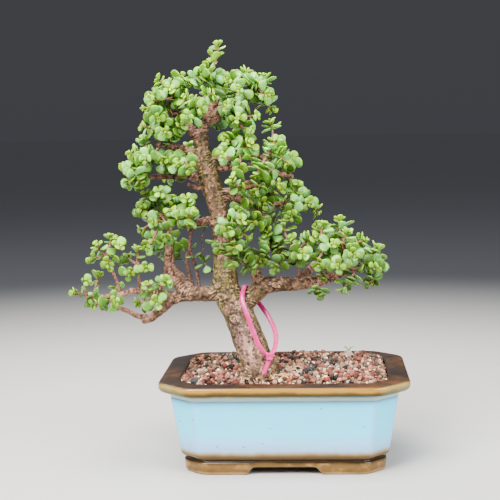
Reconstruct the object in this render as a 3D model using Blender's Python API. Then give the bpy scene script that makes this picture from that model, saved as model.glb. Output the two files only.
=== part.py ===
"""Dwarf jade bonsai (Portulacaria afra) growing in a glazed stoneware pot.

The pot, the soil and its drain screens carry a leaning trunk. Branches leave the trunk,
and short leafy shoots leave the branches. A plastic tag strap hangs in the lowest crotch.
All shapes are worked out in millimetres about the middle of the pot's underside and are
turned into metres as each piece is made. +Z is up and the front of the pot faces -Y.
"""

import math
import random

import bmesh
import bpy
from mathutils import Vector
from mathutils.bvhtree import BVHTree

MM = 0.001
GAP = 0.3  # clearance between pieces that touch

# The crown reaches further left than the pot reaches right, so the pot's middle stands
# this far right of the middle of the whole plant, which is the origin.
POT_X = 37.6

# Pot: half length, half depth and corner cut of each outline, and heights.
RIM_LENGTH, RIM_DEPTH, RIM_CUT = 108.0, 83.0, 25.0
POT_HEIGHT = 77.5
RIM_WIDTH = 18.5
LIP_HEIGHT = 5.5
BODY_LENGTH, BODY_DEPTH, BODY_CUT = 97.5, 73.5, 20.5
BODY_TOP, BODY_BOTTOM = 65.5, 17.0
BODY_TAPER, DEPTH_TAPER = 8.0, 4.0
BASE_INSET = 3.0
BASE_TOP = 11.5
FOOT_WIDTH = 13.0
FLOOR_UNDER, FLOOR_TOP = 8.0, 17.0
ARCH_HEIGHT = 6.5
ARCH_LONG, ARCH_SHORT = 32.0, 22.0
ARCH_SLOPE = 5.0

# Drain holes, with a plastic screen over each that a bent wire clip holds down.
DRAIN_X, DRAIN_RADIUS = 42.0, 14.0
SCREEN_SIZE, SCREEN_THICKNESS = 34.0, 1.0
SCREEN_CELLS, SCREEN_BAR = 3, 2.0
WIRE = 0.6

# Soil surface: distance in from the wall, and height.
SOIL_EDGE = 75.5
SOIL_MOUND = ((14.0, 79.0), (32.0, 82.0))

# Shoots and leaves.
SHOOT_BASE, SHOOT_TIP = 1.25, 0.8  # half widths of the square stem
NODE_STEP = 3.2  # stem length that carries one pair of leaves
LEAF_LENGTH, LEAF_WIDTH, LEAF_THICK = 11.5, 9.6, 2.6
LEAF_PAIRS = 2  # at the end of each shoot; the fine bud leaves beyond them are left out here


# ---------------------------------------------------------------- materials and objects

def material(name, colour, roughness, metallic=0.0):
    made = bpy.data.materials.new(name)
    made.use_nodes = True
    shader = made.node_tree.nodes["Principled BSDF"]
    shader.inputs["Base Color"].default_value = (*colour, 1.0)
    shader.inputs["Roughness"].default_value = roughness
    shader.inputs["Metallic"].default_value = metallic
    made.diffuse_color = (*colour, 1.0)
    return made


def make_object(name, bm, look=None):
    """Turn a mesh in millimetres about the pot into an object in metres."""
    bmesh.ops.recalc_face_normals(bm, faces=bm.faces)
    bmesh.ops.scale(bm, vec=(MM, MM, MM), verts=bm.verts)
    mesh = bpy.data.meshes.new(name)
    bm.to_mesh(mesh)
    bm.free()
    made = bpy.data.objects.new(name, mesh)
    bpy.context.scene.collection.objects.link(made)
    made.location.x = POT_X * MM
    if look:
        mesh.materials.append(look)
    bpy.context.view_layer.update()
    return made


def combine(target, other, operation):
    """Apply one exact Boolean to the target and remove the other object."""
    modifier = target.modifiers.new("cut", "BOOLEAN")
    modifier.operation = operation
    modifier.object = other
    modifier.solver = "EXACT"
    seen = bpy.context.evaluated_depsgraph_get()
    result = bpy.data.meshes.new_from_object(target.evaluated_get(seen))
    target.modifiers.clear()
    target.data = result
    bpy.data.objects.remove(other)
    bpy.context.view_layer.update()


def keep_largest_body(target):
    """Drop the slivers that a cut leaves beside the main body."""
    bm = bmesh.new()
    bm.from_mesh(target.data)
    left = set(bm.verts)
    bodies = []
    while left:
        seed = left.pop()
        body, edge = {seed}, [seed]
        while edge:
            vert = edge.pop()
            for link in vert.link_edges:
                near = link.other_vert(vert)
                if near in left:
                    left.remove(near)
                    body.add(near)
                    edge.append(near)
        bodies.append(body)
    bodies.sort(key=len)
    for body in bodies[:-1]:
        bmesh.ops.delete(bm, geom=list(body), context="VERTS")
    bm.to_mesh(target.data)
    bm.free()


# ---------------------------------------------------------------- basic solids

def outline(length, depth, cut, z):
    """Rectangle with cut corners, seen from above, counter-clockwise from the front right."""
    return [
        Vector((length - cut, -depth, z)), Vector((length, cut - depth, z)),
        Vector((length, depth - cut, z)), Vector((length - cut, depth, z)),
        Vector((cut - length, depth, z)), Vector((-length, depth - cut, z)),
        Vector((-length, cut - depth, z)), Vector((cut - length, -depth, z)),
    ]


def skin_rings(bm, rings):
    """Join rings of points in order and close both ends."""
    loops = [[bm.verts.new(point) for point in ring] for ring in rings]
    count = len(loops[0])
    for low, high in zip(loops, loops[1:]):
        for i in range(count):
            j = (i + 1) % count
            bm.faces.new((low[i], low[j], high[j], high[i]))
    bm.faces.new(loops[0][::-1])
    bm.faces.new(loops[-1])


def block(size, centre):
    bm = bmesh.new()
    bmesh.ops.create_cube(bm, size=1.0)
    bmesh.ops.scale(bm, vec=size, verts=bm.verts)
    bmesh.ops.translate(bm, vec=centre, verts=bm.verts)
    return bm


def carried_frames(points):
    """Tangents of a route, and a side direction carried along it without twist."""
    last = len(points) - 1
    spans = [points[min(i + 1, last)] - points[max(i - 1, 0)] for i in range(last + 1)]
    tangents = [span.normalized() for span in spans]
    side = tangents[0].orthogonal()
    sides = []
    for tangent in tangents:
        side = (side - tangent * side.dot(tangent)).normalized()
        sides.append(side)
    return tangents, sides


def tube(bm, route, corners, grow=0.0):
    """Round limb along a route of (x, y, z, radius), longer and thicker by grow."""
    points = [Vector(stop[:3]) for stop in route]
    tangents, sides = carried_frames(points)
    points[0] = points[0] - tangents[0] * grow
    points[-1] = points[-1] + tangents[-1] * grow
    rings = []
    for point, stop, tangent, side in zip(points, route, tangents, sides):
        up = tangent.cross(side)
        turns = [2 * math.pi * i / corners for i in range(corners)]
        rings.append([point + (side * math.cos(a) + up * math.sin(a)) * (stop[3] + grow) for a in turns])
    skin_rings(bm, rings)


# ---------------------------------------------------------------- pot

def make_pot(look):
    low_length, low_depth = BODY_LENGTH - BODY_TAPER, BODY_DEPTH - DEPTH_TAPER
    base_length, base_depth = low_length - BASE_INSET, low_depth - BASE_INSET
    low_cut = BODY_CUT - 4.5
    inner_length, inner_depth = RIM_LENGTH - RIM_WIDTH, RIM_DEPTH - RIM_WIDTH
    rings = [
        outline(base_length - FOOT_WIDTH, base_depth - FOOT_WIDTH, low_cut - 5, FLOOR_UNDER),
        outline(base_length - FOOT_WIDTH, base_depth - FOOT_WIDTH, low_cut - 5, 0),
        outline(base_length - 1, base_depth - 1, low_cut, 0),
        outline(base_length, base_depth, low_cut, 1.2),
        outline(base_length + 0.8, base_depth + 0.8, low_cut, BASE_TOP - 1),
        outline(base_length, base_depth, low_cut, BASE_TOP),
        outline(base_length, base_depth, low_cut, BASE_TOP + 2),
        outline(low_length - 0.6, low_depth - 0.6, low_cut, BODY_BOTTOM - 1.5),
        outline(low_length, low_depth, low_cut, BODY_BOTTOM),
        outline(BODY_LENGTH, BODY_DEPTH, BODY_CUT, BODY_TOP),
        outline(RIM_LENGTH - 2.5, RIM_DEPTH - 2.5, RIM_CUT - 1.5, POT_HEIGHT - LIP_HEIGHT - 1.5),
        outline(RIM_LENGTH, RIM_DEPTH, RIM_CUT, POT_HEIGHT - LIP_HEIGHT + 1),
        outline(RIM_LENGTH, RIM_DEPTH, RIM_CUT, POT_HEIGHT - 1.5),
        outline(RIM_LENGTH - 1.5, RIM_DEPTH - 1.5, RIM_CUT - 1, POT_HEIGHT),
        outline(inner_length + 1, inner_depth + 1, RIM_CUT - 7, POT_HEIGHT),
        outline(inner_length, inner_depth, RIM_CUT - 8, POT_HEIGHT - 1),
        outline(inner_length - BODY_TAPER, inner_depth - DEPTH_TAPER, low_cut - 4, FLOOR_TOP),
    ]
    bm = bmesh.new()
    skin_rings(bm, rings)
    pot = make_object("pot", bm, look)
    for along_x in (True, False):
        combine(pot, make_arch(along_x), "DIFFERENCE")
    for x in (-DRAIN_X, DRAIN_X):
        bm = bmesh.new()
        span = (x, 0, FLOOR_UNDER - 3, DRAIN_RADIUS), (x, 0, FLOOR_TOP + 3, DRAIN_RADIUS)
        tube(bm, span, 16)
        combine(pot, make_object("drain_cutter", bm), "DIFFERENCE")
    return pot


def make_arch(along_x):
    """Cutter for the low arches through two opposite sides of the foot ring."""
    half = ARCH_SHORT if along_x else ARCH_LONG
    reach = RIM_LENGTH + 5 if along_x else RIM_DEPTH + 5
    profile = [(-half - ARCH_SLOPE, -1), (half + ARCH_SLOPE, -1), (half - ARCH_SLOPE, ARCH_HEIGHT),
               (ARCH_SLOPE - half, ARCH_HEIGHT)]
    rings = []
    for end in (-reach, reach):
        if along_x:
            rings.append([Vector((end, a, z)) for a, z in profile])
        else:
            rings.append([Vector((a, end, z)) for a, z in profile])
    bm = bmesh.new()
    skin_rings(bm, rings)
    return make_object("arch_cutter", bm)


# ---------------------------------------------------------------- soil and drainage

def make_soil(look):
    length, depth = RIM_LENGTH - RIM_WIDTH - GAP, RIM_DEPTH - RIM_WIDTH - GAP
    low_length, low_depth = length - BODY_TAPER, depth - DEPTH_TAPER
    cut = RIM_CUT - 8
    low_cut = BODY_CUT - 8.5
    fall = (POT_HEIGHT - 1 - SOIL_EDGE) / (POT_HEIGHT - 1 - FLOOR_TOP)
    rings = [
        outline(low_length, low_depth, low_cut, FLOOR_TOP + GAP),
        outline(length - BODY_TAPER * fall, depth - DEPTH_TAPER * fall, cut, SOIL_EDGE),
    ]
    for inset, z in SOIL_MOUND:
        rings.append(outline(length - inset, depth - inset, cut, z))
    bm = bmesh.new()
    skin_rings(bm, rings)
    soil = make_object("soil", bm, look)
    pocket = SCREEN_SIZE + 2 * GAP
    height = SCREEN_THICKNESS + 4 * WIRE
    for x in (-DRAIN_X, DRAIN_X):
        cutter = block((pocket, pocket, 2 * height), (x, 0, FLOOR_TOP))
        combine(soil, make_object("pocket_cutter", cutter), "DIFFERENCE")
    return soil


def make_screen(name, x, look):
    """Square plastic mesh plate lying over a drain hole."""
    low = FLOOR_TOP + GAP
    high = low + SCREEN_THICKNESS
    pitch = (SCREEN_SIZE - SCREEN_BAR) / SCREEN_CELLS
    stops = []
    for i in range(SCREEN_CELLS + 1):
        start = i * pitch - SCREEN_SIZE / 2
        stops += [start, start + SCREEN_BAR]
    count = len(stops)
    bm = bmesh.new()
    layers = [[[bm.verts.new((x + a, b, z)) for b in stops] for a in stops] for z in (low, high)]
    for i in range(count - 1):
        for j in range(count - 1):
            if i % 2 and j % 2:
                continue
            for layer in layers:
                bm.faces.new((layer[i][j], layer[i + 1][j], layer[i + 1][j + 1], layer[i][j + 1]))
    top_of = dict(zip([v for row in layers[0] for v in row], [v for row in layers[1] for v in row]))
    for edge in [e for e in bm.edges if len(e.link_faces) == 1 and e.verts[0] in top_of]:
        a, b = edge.verts
        bm.faces.new((a, b, top_of[b], top_of[a]))
    return make_object(name, bm, look)


def make_clip(name, x, look):
    """Wire staple over the screen, down through the drain hole and bent out below the floor."""
    pitch = (SCREEN_SIZE - SCREEN_BAR) / SCREEN_CELLS
    leg = pitch
    top = FLOOR_TOP + GAP + SCREEN_THICKNESS + GAP + WIRE
    low = FLOOR_UNDER - GAP - WIRE
    stops = [(-leg - 8, low), (-leg - 0.8, low), (-leg, low + 0.8), (-leg, top - 0.8), (-leg + 0.8, top),
             (leg - 0.8, top), (leg, top - 0.8), (leg, low + 0.8), (leg + 0.8, low), (leg + 8, low)]
    bm = bmesh.new()
    tube(bm, [(x + a, 0, z, WIRE) for a, z in stops], 6)
    return make_object(name, bm, look)


# ---------------------------------------------------------------- wood

# Each limb is a route of (x, y, z, radius). The first route of a piece is its main limb,
# and the others are forks, stubs or roots that grow from it as the same wood.
TRUNK = [
    [(-15, -36, 66, 11), (-18, -38, 76, 16), (-21, -38, 84, 16), (-24, -37, 94, 14.5), (-28, -35, 106, 14),
     (-33, -34, 119, 13.7), (-39, -31, 134, 13.3), (-46, -28, 146, 12.8), (-50, -26, 157, 12),
     (-50, -24, 171, 11), (-51, -22, 188, 9.3), (-53, -20, 204, 8.2), (-54, -19, 218, 7.8),
     (-57, -18, 230, 8.4), (-60, -17, 241, 9.3), (-63, -17, 253, 9), (-66, -16, 263, 8.7),
     (-69, -15, 275, 8), (-69, -15, 284, 6), (-68, -15, 291, 4.5), (-68, -15, 298, 2.7)],
    [(-22, -42, 86, 7), (-36, -48, 81, 5.5), (-48, -56, 75, 3.5)],
    [(-18, -44, 84, 7), (-18, -53, 79, 4.5), (-19, -57, 73, 2.5)],
    [(-14, -34, 85, 7), (2, -40, 80, 5), (16, -44, 73, 3)],
    [(-18, -26, 85, 7), (-10, -12, 81, 5), (-2, 2, 74, 3)],
    [(-24, -28, 86, 7), (-38, -16, 81, 5), (-50, -6, 74, 3)],
    [(-62, -17, 240, 3), (-72, -19, 242, 2.2), (-82, -21, 246, 1.7)],
    [(-58, -17, 236, 3.6), (-41, -20, 241, 2.6), (-24, -22, 243, 2.3), (-13, -24, 242, 2)],
    [(-51, -24, 190, 5), (-48, -36, 195, 4), (-45, -47, 204, 3.2), (-44, -54, 211, 2.6)],
    [(-69, -15, 272, 4), (-79, -17, 275, 3.2), (-90, -19, 278, 3), (-99, -21, 280, 2.8),
     (-108, -23, 281, 2.7)],
]
BRANCHES = {
    "branch_apex": ("trunk", [
        [(-68, -15, 282, 4.2), (-66, -14, 296, 3.6), (-60, -13, 311, 3), (-57, -12, 323, 2.4)],
        [(-63, -13, 304, 3.2), (-50, -11, 312, 2.8), (-38, -8, 318, 2.5), (-27, -5, 322, 2.1)],
        [(-66, -13, 297, 3.4), (-64, 4, 300, 3), (-60, 18, 302, 2.8), (-56, 31, 304, 2.4)]]),
    "branch_top_left": ("trunk", [
        [(-69, -15, 279, 4.6), (-78, -17, 294, 3.6), (-88, -19, 305, 3), (-98, -21, 311, 2.4)]]),
    "branch_upper_left": ("trunk", [
        [(-65, -17, 253, 4), (-77, -18, 254, 3), (-92, -19, 253, 2.8), (-105, -20, 253, 2.5),
         (-118, -21, 252, 2)]]),
    "branch_mid_left": ("trunk", [
        [(-54, -20, 213, 4.2), (-66, -20, 214, 3.4), (-78, -19, 211, 3.1), (-88, -18, 210, 2.9),
         (-97, -16, 215, 2.4), (-107, -15, 223, 1.9)]]),
    "branch_lower_left": ("trunk", [
        [(-48, -27, 152, 7.5), (-64, -30, 151, 6.4), (-78, -32, 151, 6), (-88, -34, 151, 6),
         (-97, -36, 147, 4.8), (-105, -37, 139, 3.8), (-115, -38, 131, 3.4), (-122, -38, 129, 3)],
        [(-114, -38, 132, 2.6), (-126, -37, 133, 2.2), (-136, -36, 138, 1.9), (-149, -36, 142, 1.6)],
        [(-92, -35, 149, 4.4), (-106, -39, 153, 3), (-118, -42, 156, 2.6), (-130, -44, 156, 2.3),
         (-145, -44, 152, 2), (-158, -44, 151, 1.7)],
        [(-76, -31, 151, 5), (-86, -12, 158, 3.8), (-96, 8, 165, 3.2), (-104, 26, 170, 2.6)]]),
    "branch_left_riser": ("branch_lower_left", [
        [(-86, -33, 152, 4.2), (-93, -31, 162, 3.8), (-99, -30, 171, 3.6), (-100, -29, 182, 3),
         (-98, -28, 194, 2.9), (-97, -27, 205, 2.8), (-101, -26, 214, 2.4), (-107, -26, 220, 2)],
        [(-99, -30, 171, 3), (-104, -33, 162, 2.8), (-109, -39, 154, 2.8)]]),
    "branch_lower_right": ("trunk", [
        [(-42, -29, 138, 9.5), (-30, -30, 146, 8.4), (-22, -30, 153, 8), (-14, -30, 158, 7.4),
         (-2, -30, 159, 6.4), (14, -30, 159, 5.6), (32, -30, 161, 4.8), (45, -30, 165, 3.7),
         (57, -30, 170, 2.8), (68, -30, 173, 2.2)],
        [(-18, -30, 156, 5.2), (-23, -30, 167, 4.7), (-24, -29, 176, 4), (-18, -27, 184, 3.2),
         (-10, -26, 191, 2.6)],
        [(12, -30, 159, 4.6), (20, -14, 166, 3.8), (28, 4, 171, 3.2), (38, 20, 175, 2.6)]]),
    "branch_mid_right": ("trunk", [
        [(-58, -18, 231, 4.6), (-48, -17, 234, 3.9), (-37, -14, 232, 3.6), (-25, -11, 226, 3.1),
         (-14, -9, 223, 2.8), (-4, -8, 226, 2.6), (6, -6, 229, 2.1)]]),
    "branch_upper_right": ("trunk", [
        [(-67, -16, 268, 4), (-52, -18, 268, 3.1), (-38, -20, 269, 2.8), (-28, -22, 270, 2.6),
         (-18, -24, 268, 2.4), (-9, -26, 265, 2)]]),
    "branch_high_right": ("trunk", [
        [(-64, -15, 258, 4), (-46, -12, 260, 3), (-24, -8, 260, 2.8), (-12, -6, 257, 2.5),
         (1, -4, 252, 2.1), (10, -3, 250, 2)]]),
    "branch_rear_low": ("trunk", [
        [(-52, -21, 196, 5), (-44, -2, 204, 4.2), (-37, 18, 211, 3.6), (-33, 36, 215, 3),
         (-28, 50, 221, 2.3)]]),
    "branch_rear_mid": ("trunk", [
        [(-60, -17, 240, 4.6), (-70, -2, 247, 3.6), (-80, 14, 250, 3.1), (-88, 30, 255, 2.5)]]),
}


def limb_corners(route):
    thickest = max(stop[3] for stop in route)
    return 10 if thickest > 10 else 8 if thickest > 4 else 6


def make_wood(name, limbs, grow=0.0, look=None):
    bm = bmesh.new()
    tube(bm, limbs[0], limb_corners(limbs[0]), grow)
    wood = make_object(name, bm, look)
    for limb in limbs[1:]:
        bm = bmesh.new()
        tube(bm, limb, limb_corners(limb), grow)
        combine(wood, make_object("fork", bm), "UNION")
    return wood


def make_branches(look):
    limbs_of = {"trunk": TRUNK}
    made = {"trunk": make_wood("trunk", TRUNK, look=look)}
    for name, (parent, limbs) in BRANCHES.items():
        limbs_of[name] = limbs
        branch = make_wood(name, limbs, look=look)
        combine(branch, make_wood("parent_cutter", limbs_of[parent], GAP), "DIFFERENCE")
        keep_largest_body(branch)
        made[name] = branch
    return made


# ---------------------------------------------------------------- tag strap and stone

STRAP_LOOP = [
    (-11, -53, 99), (-18, -53, 105), (-24, -51, 117), (-30, -47.5, 134), (-34.5, -43, 146),
    (-34.5, -39, 152.5), (-33.5, -33, 156), (-33, -26, 157.5), (-31.5, -19, 155), (-28, -14, 148),
    (-20, -17, 138), (-12, -23, 127), (-7, -33, 116), (-7, -43, 107), (-10, -50, 101),
]
STRAP_TAIL = [(-11.5, -53, 98), (-14, -54, 91), (-17, -55, 84)]
STRAP_WIDTH, STRAP_THICK = 4.6, 1.1
STRAP_LEVEL = Vector((1, -0.25, 0))  # the way the strap's width lies
STRAP_HEAD = (7.0, 5.5, 6.0)
STRAP_HEAD_AT = (-11.5, -52.5, 99.5)


def strip(route, width, thick):
    """Flat strap along a route, its width level and square to the way it runs."""
    points = [Vector(stop) for stop in route]
    tangents, _ = carried_frames(points)
    bm = bmesh.new()
    rings = []
    for point, tangent in zip(points, tangents):
        across = (STRAP_LEVEL - tangent * tangent.dot(STRAP_LEVEL)).normalized() * width / 2
        out = tangent.cross(across).normalized() * thick / 2
        rings.append([point + across + out, point - across + out, point - across - out, point + across - out])
    skin_rings(bm, rings)
    return bm


def make_strap(look):
    strap = make_object("tag_strap", strip(STRAP_LOOP, STRAP_WIDTH, STRAP_THICK), look)
    combine(strap, make_object("tail", strip(STRAP_TAIL, STRAP_WIDTH, STRAP_THICK)), "UNION")
    combine(strap, make_object("head", block(STRAP_HEAD, STRAP_HEAD_AT)), "UNION")
    return strap


def make_stone(name, grow=0.0, look=None):
    """Pointed stone, half sunk in the soil near its back right."""
    x, y, z = 57, 40, 74.5
    outline_of = [(7.5, 0), (4.5, 5.5), (-2, 6.5), (-7, 2.5), (-6, -4), (0.5, -6.5), (6, -4)]
    rings = []
    for size, height in ((0.8 + grow / 6, -grow), (1 + grow / 6, 5), (0.35 + grow / 6, 12 + grow)):
        rings.append([Vector((x + a * size, y + b * size, z + height)) for a, b in outline_of])
    bm = bmesh.new()
    skin_rings(bm, rings)
    return make_object(name, bm, look)


# ---------------------------------------------------------------- leafy shoots

# Each spray: the branch it grows from, the place near that branch where it starts, and
# the middle of each rosette that its shoots end in. The first rosette ends the main shoot.
SPRAYS = {
    "shoots_leader": ("branch_apex", (-57, -12, 322), [(-55, -12, 366), (-70, -20, 334), (-48, -2, 336)]),
    "shoots_top_left": ("branch_top_left", (-88, -20, 308), [
        (-104, -18, 336), (-86, -10, 338), (-94, -32, 328), (-108, -36, 318)]),
    "shoots_top_left_end": ("branch_top_left", (-98, -21, 311), [
        (-115, -24, 312), (-109, -8, 324), (-104, -38, 304)]),
    "shoots_top_front": ("branch_apex", (-64, -18, 303), [
        (-80, -40, 320), (-67, -48, 312), (-57, -38, 322), (-76, -50, 304)]),
    "shoots_top_right": ("branch_apex", (-38, -8, 320), [
        (-30, -4, 342), (-44, -16, 334), (-34, -32, 326), (-40, 10, 336)]),
    "shoots_top_right_end": ("branch_apex", (-27, -5, 323), [
        (-14, 4, 338), (-12, -14, 322), (-22, 20, 334), (-9, 6, 310)]),
    "shoots_top_right_low": ("branch_apex", (-44, -12, 312), [
        (-36, -40, 302), (-43, -34, 312), (-21, -26, 304), (-27, -34, 292)]),
    "shoots_top_rear": ("branch_apex", (-60, 24, 299), [
        (-66, 30, 326), (-80, 22, 318), (-50, 20, 324)]),
    "shoots_top_rear_end": ("branch_apex", (-57, 32, 302), [
        (-50, 52, 308), (-66, 50, 300), (-38, 40, 316)]),
    "shoots_stub_left": ("trunk", (-95, -20, 281), [
        (-117, -30, 296), (-111, -12, 302), (-98, -42, 293), (-86, -32, 298)]),
    "shoots_stub_left_low": ("trunk", (-106, -23, 279), [
        (-128, -28, 274), (-122, -8, 284), (-115, -42, 269)]),
    "shoots_upper_left": ("branch_upper_left", (-117, -21, 253), [
        (-136, -14, 262), (-130, -32, 250), (-117, -44, 244), (-134, -4, 246)]),
    "shoots_upper_left_inner": ("branch_upper_left", (-94, -19, 256), [
        (-100, -36, 268), (-87, -42, 264), (-77, -46, 256)]),
    "shoots_mid_left": ("branch_mid_left", (-106, -15, 222), [
        (-118, -16, 236), (-120, -32, 226), (-104, -38, 240), (-110, 2, 230)]),
    "shoots_mid_left_inner": ("branch_mid_left", (-86, -18, 212), [
        (-95, -38, 226), (-80, -42, 234), (-86, -52, 220), (-72, -50, 228)]),
    "shoots_left_riser": ("branch_left_riser", (-104, -26, 217), [
        (-120, -40, 208), (-107, -52, 216), (-96, -54, 205), (-114, -54, 195)]),
    "shoots_lower_left": ("branch_lower_left", (-122, -43, 157), [
        (-122, -52, 192), (-134, -40, 184), (-114, -64, 178), (-128, -62, 174)]),
    "shoots_far_left": ("branch_lower_left", (-139, -44, 155), [
        (-158, -46, 196), (-148, -34, 202), (-138, -54, 196), (-164, -32, 184), (-146, -60, 182)]),
    "shoots_far_left_end": ("branch_lower_left", (-158, -44, 151), [
        (-178, -44, 155), (-166, -56, 166), (-170, -32, 146), (-160, -30, 168)]),
    "shoots_far_left_low": ("branch_lower_left", (-146, -36, 142), [
        (-160, -54, 146), (-140, -64, 152), (-146, -20, 156)]),
    "shoots_lower_left_inner": ("branch_lower_left", (-108, -40, 153), [
        (-112, -68, 164), (-105, -70, 150), (-122, -56, 148), (-98, -62, 167)]),
    "shoots_rear_left": ("branch_lower_left", (-103, 24, 170), [
        (-120, 36, 188), (-104, 44, 192), (-118, 12, 196), (-92, 30, 188)]),
    "shoots_front": ("trunk", (-44, -54, 212), [
        (-43, -73, 210), (-33, -68, 218), (-38, -75, 196), (-50, -70, 194), (-28, -64, 203)]),
    "shoots_front_low": ("trunk", (-46, -48, 203), [
        (-30, -62, 188), (-42, -72, 182), (-24, -58, 176)]),
    "shoots_right_riser": ("branch_lower_right", (-11, -26, 191), [
        (-12, -38, 204), (-17, -48, 184), (-5, -54, 176), (2, -40, 186)]),
    "shoots_lower_right": ("branch_lower_right", (14, -30, 165), [
        (8, -48, 199), (18, -60, 188), (26, -44, 200), (2, -34, 212)]),
    "shoots_lower_right_mid": ("branch_lower_right", (38, -30, 167), [
        (43, -52, 195), (31, -62, 180), (48, -66, 178), (35, -34, 210), (32, -50, 152)]),
    "shoots_lower_right_outer": ("branch_lower_right", (56, -30, 172), [
        (56, -30, 203), (70, -34, 196), (61, -56, 186), (50, -12, 212)]),
    "shoots_lower_right_end": ("branch_lower_right", (68, -30, 174), [
        (82, -24, 188), (79, -44, 174), (68, -46, 157), (53, -56, 158), (78, -8, 180)]),
    "shoots_mid_right": ("branch_mid_right", (5, -6, 230), [
        (14, -10, 243), (23, -22, 228), (31, -4, 219), (8, -32, 218)]),
    "shoots_mid_right_inner": ("branch_mid_right", (-18, -10, 226), [
        (-14, -36, 230), (-35, -46, 224), (-24, -44, 214), (-3, -28, 240)]),
    "shoots_upper_right": ("branch_upper_right", (-11, -26, 267), [
        (-5, -24, 282), (5, -34, 264), (-9, -12, 298), (-20, -44, 254)]),
    "shoots_upper_right_inner": ("branch_upper_right", (-37, -20, 271), [
        (-46, -36, 284), (-49, -48, 272), (-34, -46, 263), (-26, -38, 280)]),
    "shoots_high_right": ("branch_high_right", (-2, -4, 255), [
        (10, 6, 264), (4, 12, 242), (-8, 12, 276), (-4, 24, 256)]),
    "shoots_small_right": ("trunk", (-16, -23, 244), [
        (-2, -38, 246), (-20, -44, 240), (-32, -50, 246), (-38, -54, 256)]),
    "shoots_rear_low": ("branch_rear_low", (-29, 48, 222), [
        (-20, 62, 238), (-38, 66, 228), (-8, 52, 224), (-26, 70, 210)]),
    "shoots_rear_low_inner": ("branch_rear_low", (-37, 20, 214), [
        (-22, 26, 236), (-8, 30, 210), (2, 24, 226)]),
    "shoots_rear_mid": ("branch_rear_mid", (-88, 30, 256), [
        (-100, 44, 266), (-84, 50, 262), (-106, 30, 250), (-86, 34, 278)]),
    "shoots_rear_right": ("branch_lower_right", (37, 19, 177), [
        (52, 28, 190), (38, 40, 188), (30, 22, 202), (56, 10, 198)]),
}


def square_ring(centre, axis, side, half):
    up = axis.cross(side)
    corners = ((1, -1), (1, 1), (-1, 1), (-1, -1))
    return [centre + (side * a + up * b) * half for a, b in corners]


def curve_points(start, bend, end, stops):
    """Points of a curve with one bend, at the given fractions of its run."""
    return [start * (1 - t) ** 2 + bend * 2 * t * (1 - t) + end * t ** 2 for t in stops]


def solid_tree(verts, faces):
    return BVHTree.FromPolygons(verts, faces)


def object_tree(made):
    """Collision tree of an object, in millimetres about the pot."""
    verts = [vert.co / MM for vert in made.data.vertices]
    return solid_tree(verts, [tuple(face.vertices) for face in made.data.polygons])


class Placed:
    """Everything that is already in place, for keeping new growth clear of it."""

    def __init__(self):
        self.items = []

    def add(self, verts, faces):
        low = Vector([min(vert[i] for vert in verts) for i in range(3)])
        high = Vector([max(vert[i] for vert in verts) for i in range(3)])
        self.items.append((low, high, solid_tree(verts, faces)))

    def add_object(self, made):
        verts = [vert.co / MM for vert in made.data.vertices]
        self.add(verts, [tuple(face.vertices) for face in made.data.polygons])

    def touches(self, verts, faces):
        low = [min(vert[i] for vert in verts) for i in range(3)]
        high = [max(vert[i] for vert in verts) for i in range(3)]
        own = None
        for item_low, item_high, tree in self.items:
            if all(low[i] < item_high[i] and high[i] > item_low[i] for i in range(3)):
                own = own or solid_tree(verts, faces)
                if own.overlap(tree):
                    return True
        return False


def stem_plan(length, forks, pairs):
    """Fractions along a stem, each with what the stretch before it carries."""
    leafy = pairs * NODE_STEP
    bare = max(length - leafy, 6.0)
    whole = bare + leafy
    plan = []
    here = 2.0
    plan.append((here / whole, "bare"))
    fork_at = [bare * (0.3 + 0.6 * (i + 0.5) / forks) for i in range(forks)] if forks else []
    for place in fork_at:
        if place - here > 1.0:
            plan.append(((place - 1.2) / whole, "bare"))
        plan.append(((place + 1.2) / whole, "fork"))
        here = place + 1.2
    if bare - here > 1.0:
        plan.append((bare / whole, "bare"))
    for i in range(pairs):
        plan.append(((bare + (i + 1) * NODE_STEP) / whole, "leaf"))
    return plan


def grow_stem(ring, centre, axis, side, tip, forks, pairs, half, dice, placed):
    """Work out the rings of one stem from its first ring to its tip, clear of what is placed."""
    reach = tip - centre
    plan = stem_plan(reach.length, forks, pairs)
    for attempt in range(40):
        loose = 0.12 + 0.02 * attempt
        sway = Vector((dice.uniform(-1, 1), dice.uniform(-1, 1), dice.uniform(-0.6, 1)))
        wander = sway * reach.length * loose
        bend = centre + axis * reach.length * dice.uniform(0.25, 0.5) + reach * 0.15 + wander
        end = tip + wander * (0.0 if attempt < 15 else 0.35)
        points = [centre] + curve_points(centre, bend, end, [stop for stop, _ in plan])
        rings = [ring]
        carried = side
        segments = []
        for i, (stop, kind) in enumerate(plan, start=1):
            ahead = points[min(i + 1, len(points) - 1)]
            tangent = (ahead - points[i - 1]).normalized()
            carried = (carried - tangent * carried.dot(tangent)).normalized()
            width = half + (SHOOT_TIP - half) * stop
            rings.append(square_ring(points[i], tangent, carried, width))
            segments.append((kind, tangent, carried.copy()))
        if not placed.touches(*stem_skin(rings, 1.45)):
            return rings, segments
    return None


def stem_skin(rings, swell):
    """Plain skin of a stem from just past its start, thicker by a factor, for clash tests."""
    loops = [[a + (b - a) * 0.35 for a, b in zip(rings[0], rings[1])]]
    for loop in rings[1:]:
        middle = sum(loop, Vector()) / 4
        loops.append([middle + (point - middle) * swell for point in loop])
    verts = [point for loop in loops for point in loop]
    faces = [(0, 1, 2, 3)]
    for i in range(len(loops) - 1):
        for k in range(4):
            j = (k + 1) % 4
            faces.append((4 * i + k, 4 * i + j, 4 * i + 4 + j, 4 * i + 4 + k))
    last = 4 * (len(loops) - 1)
    faces.append((last, last + 1, last + 2, last + 3))
    return verts, faces


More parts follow.
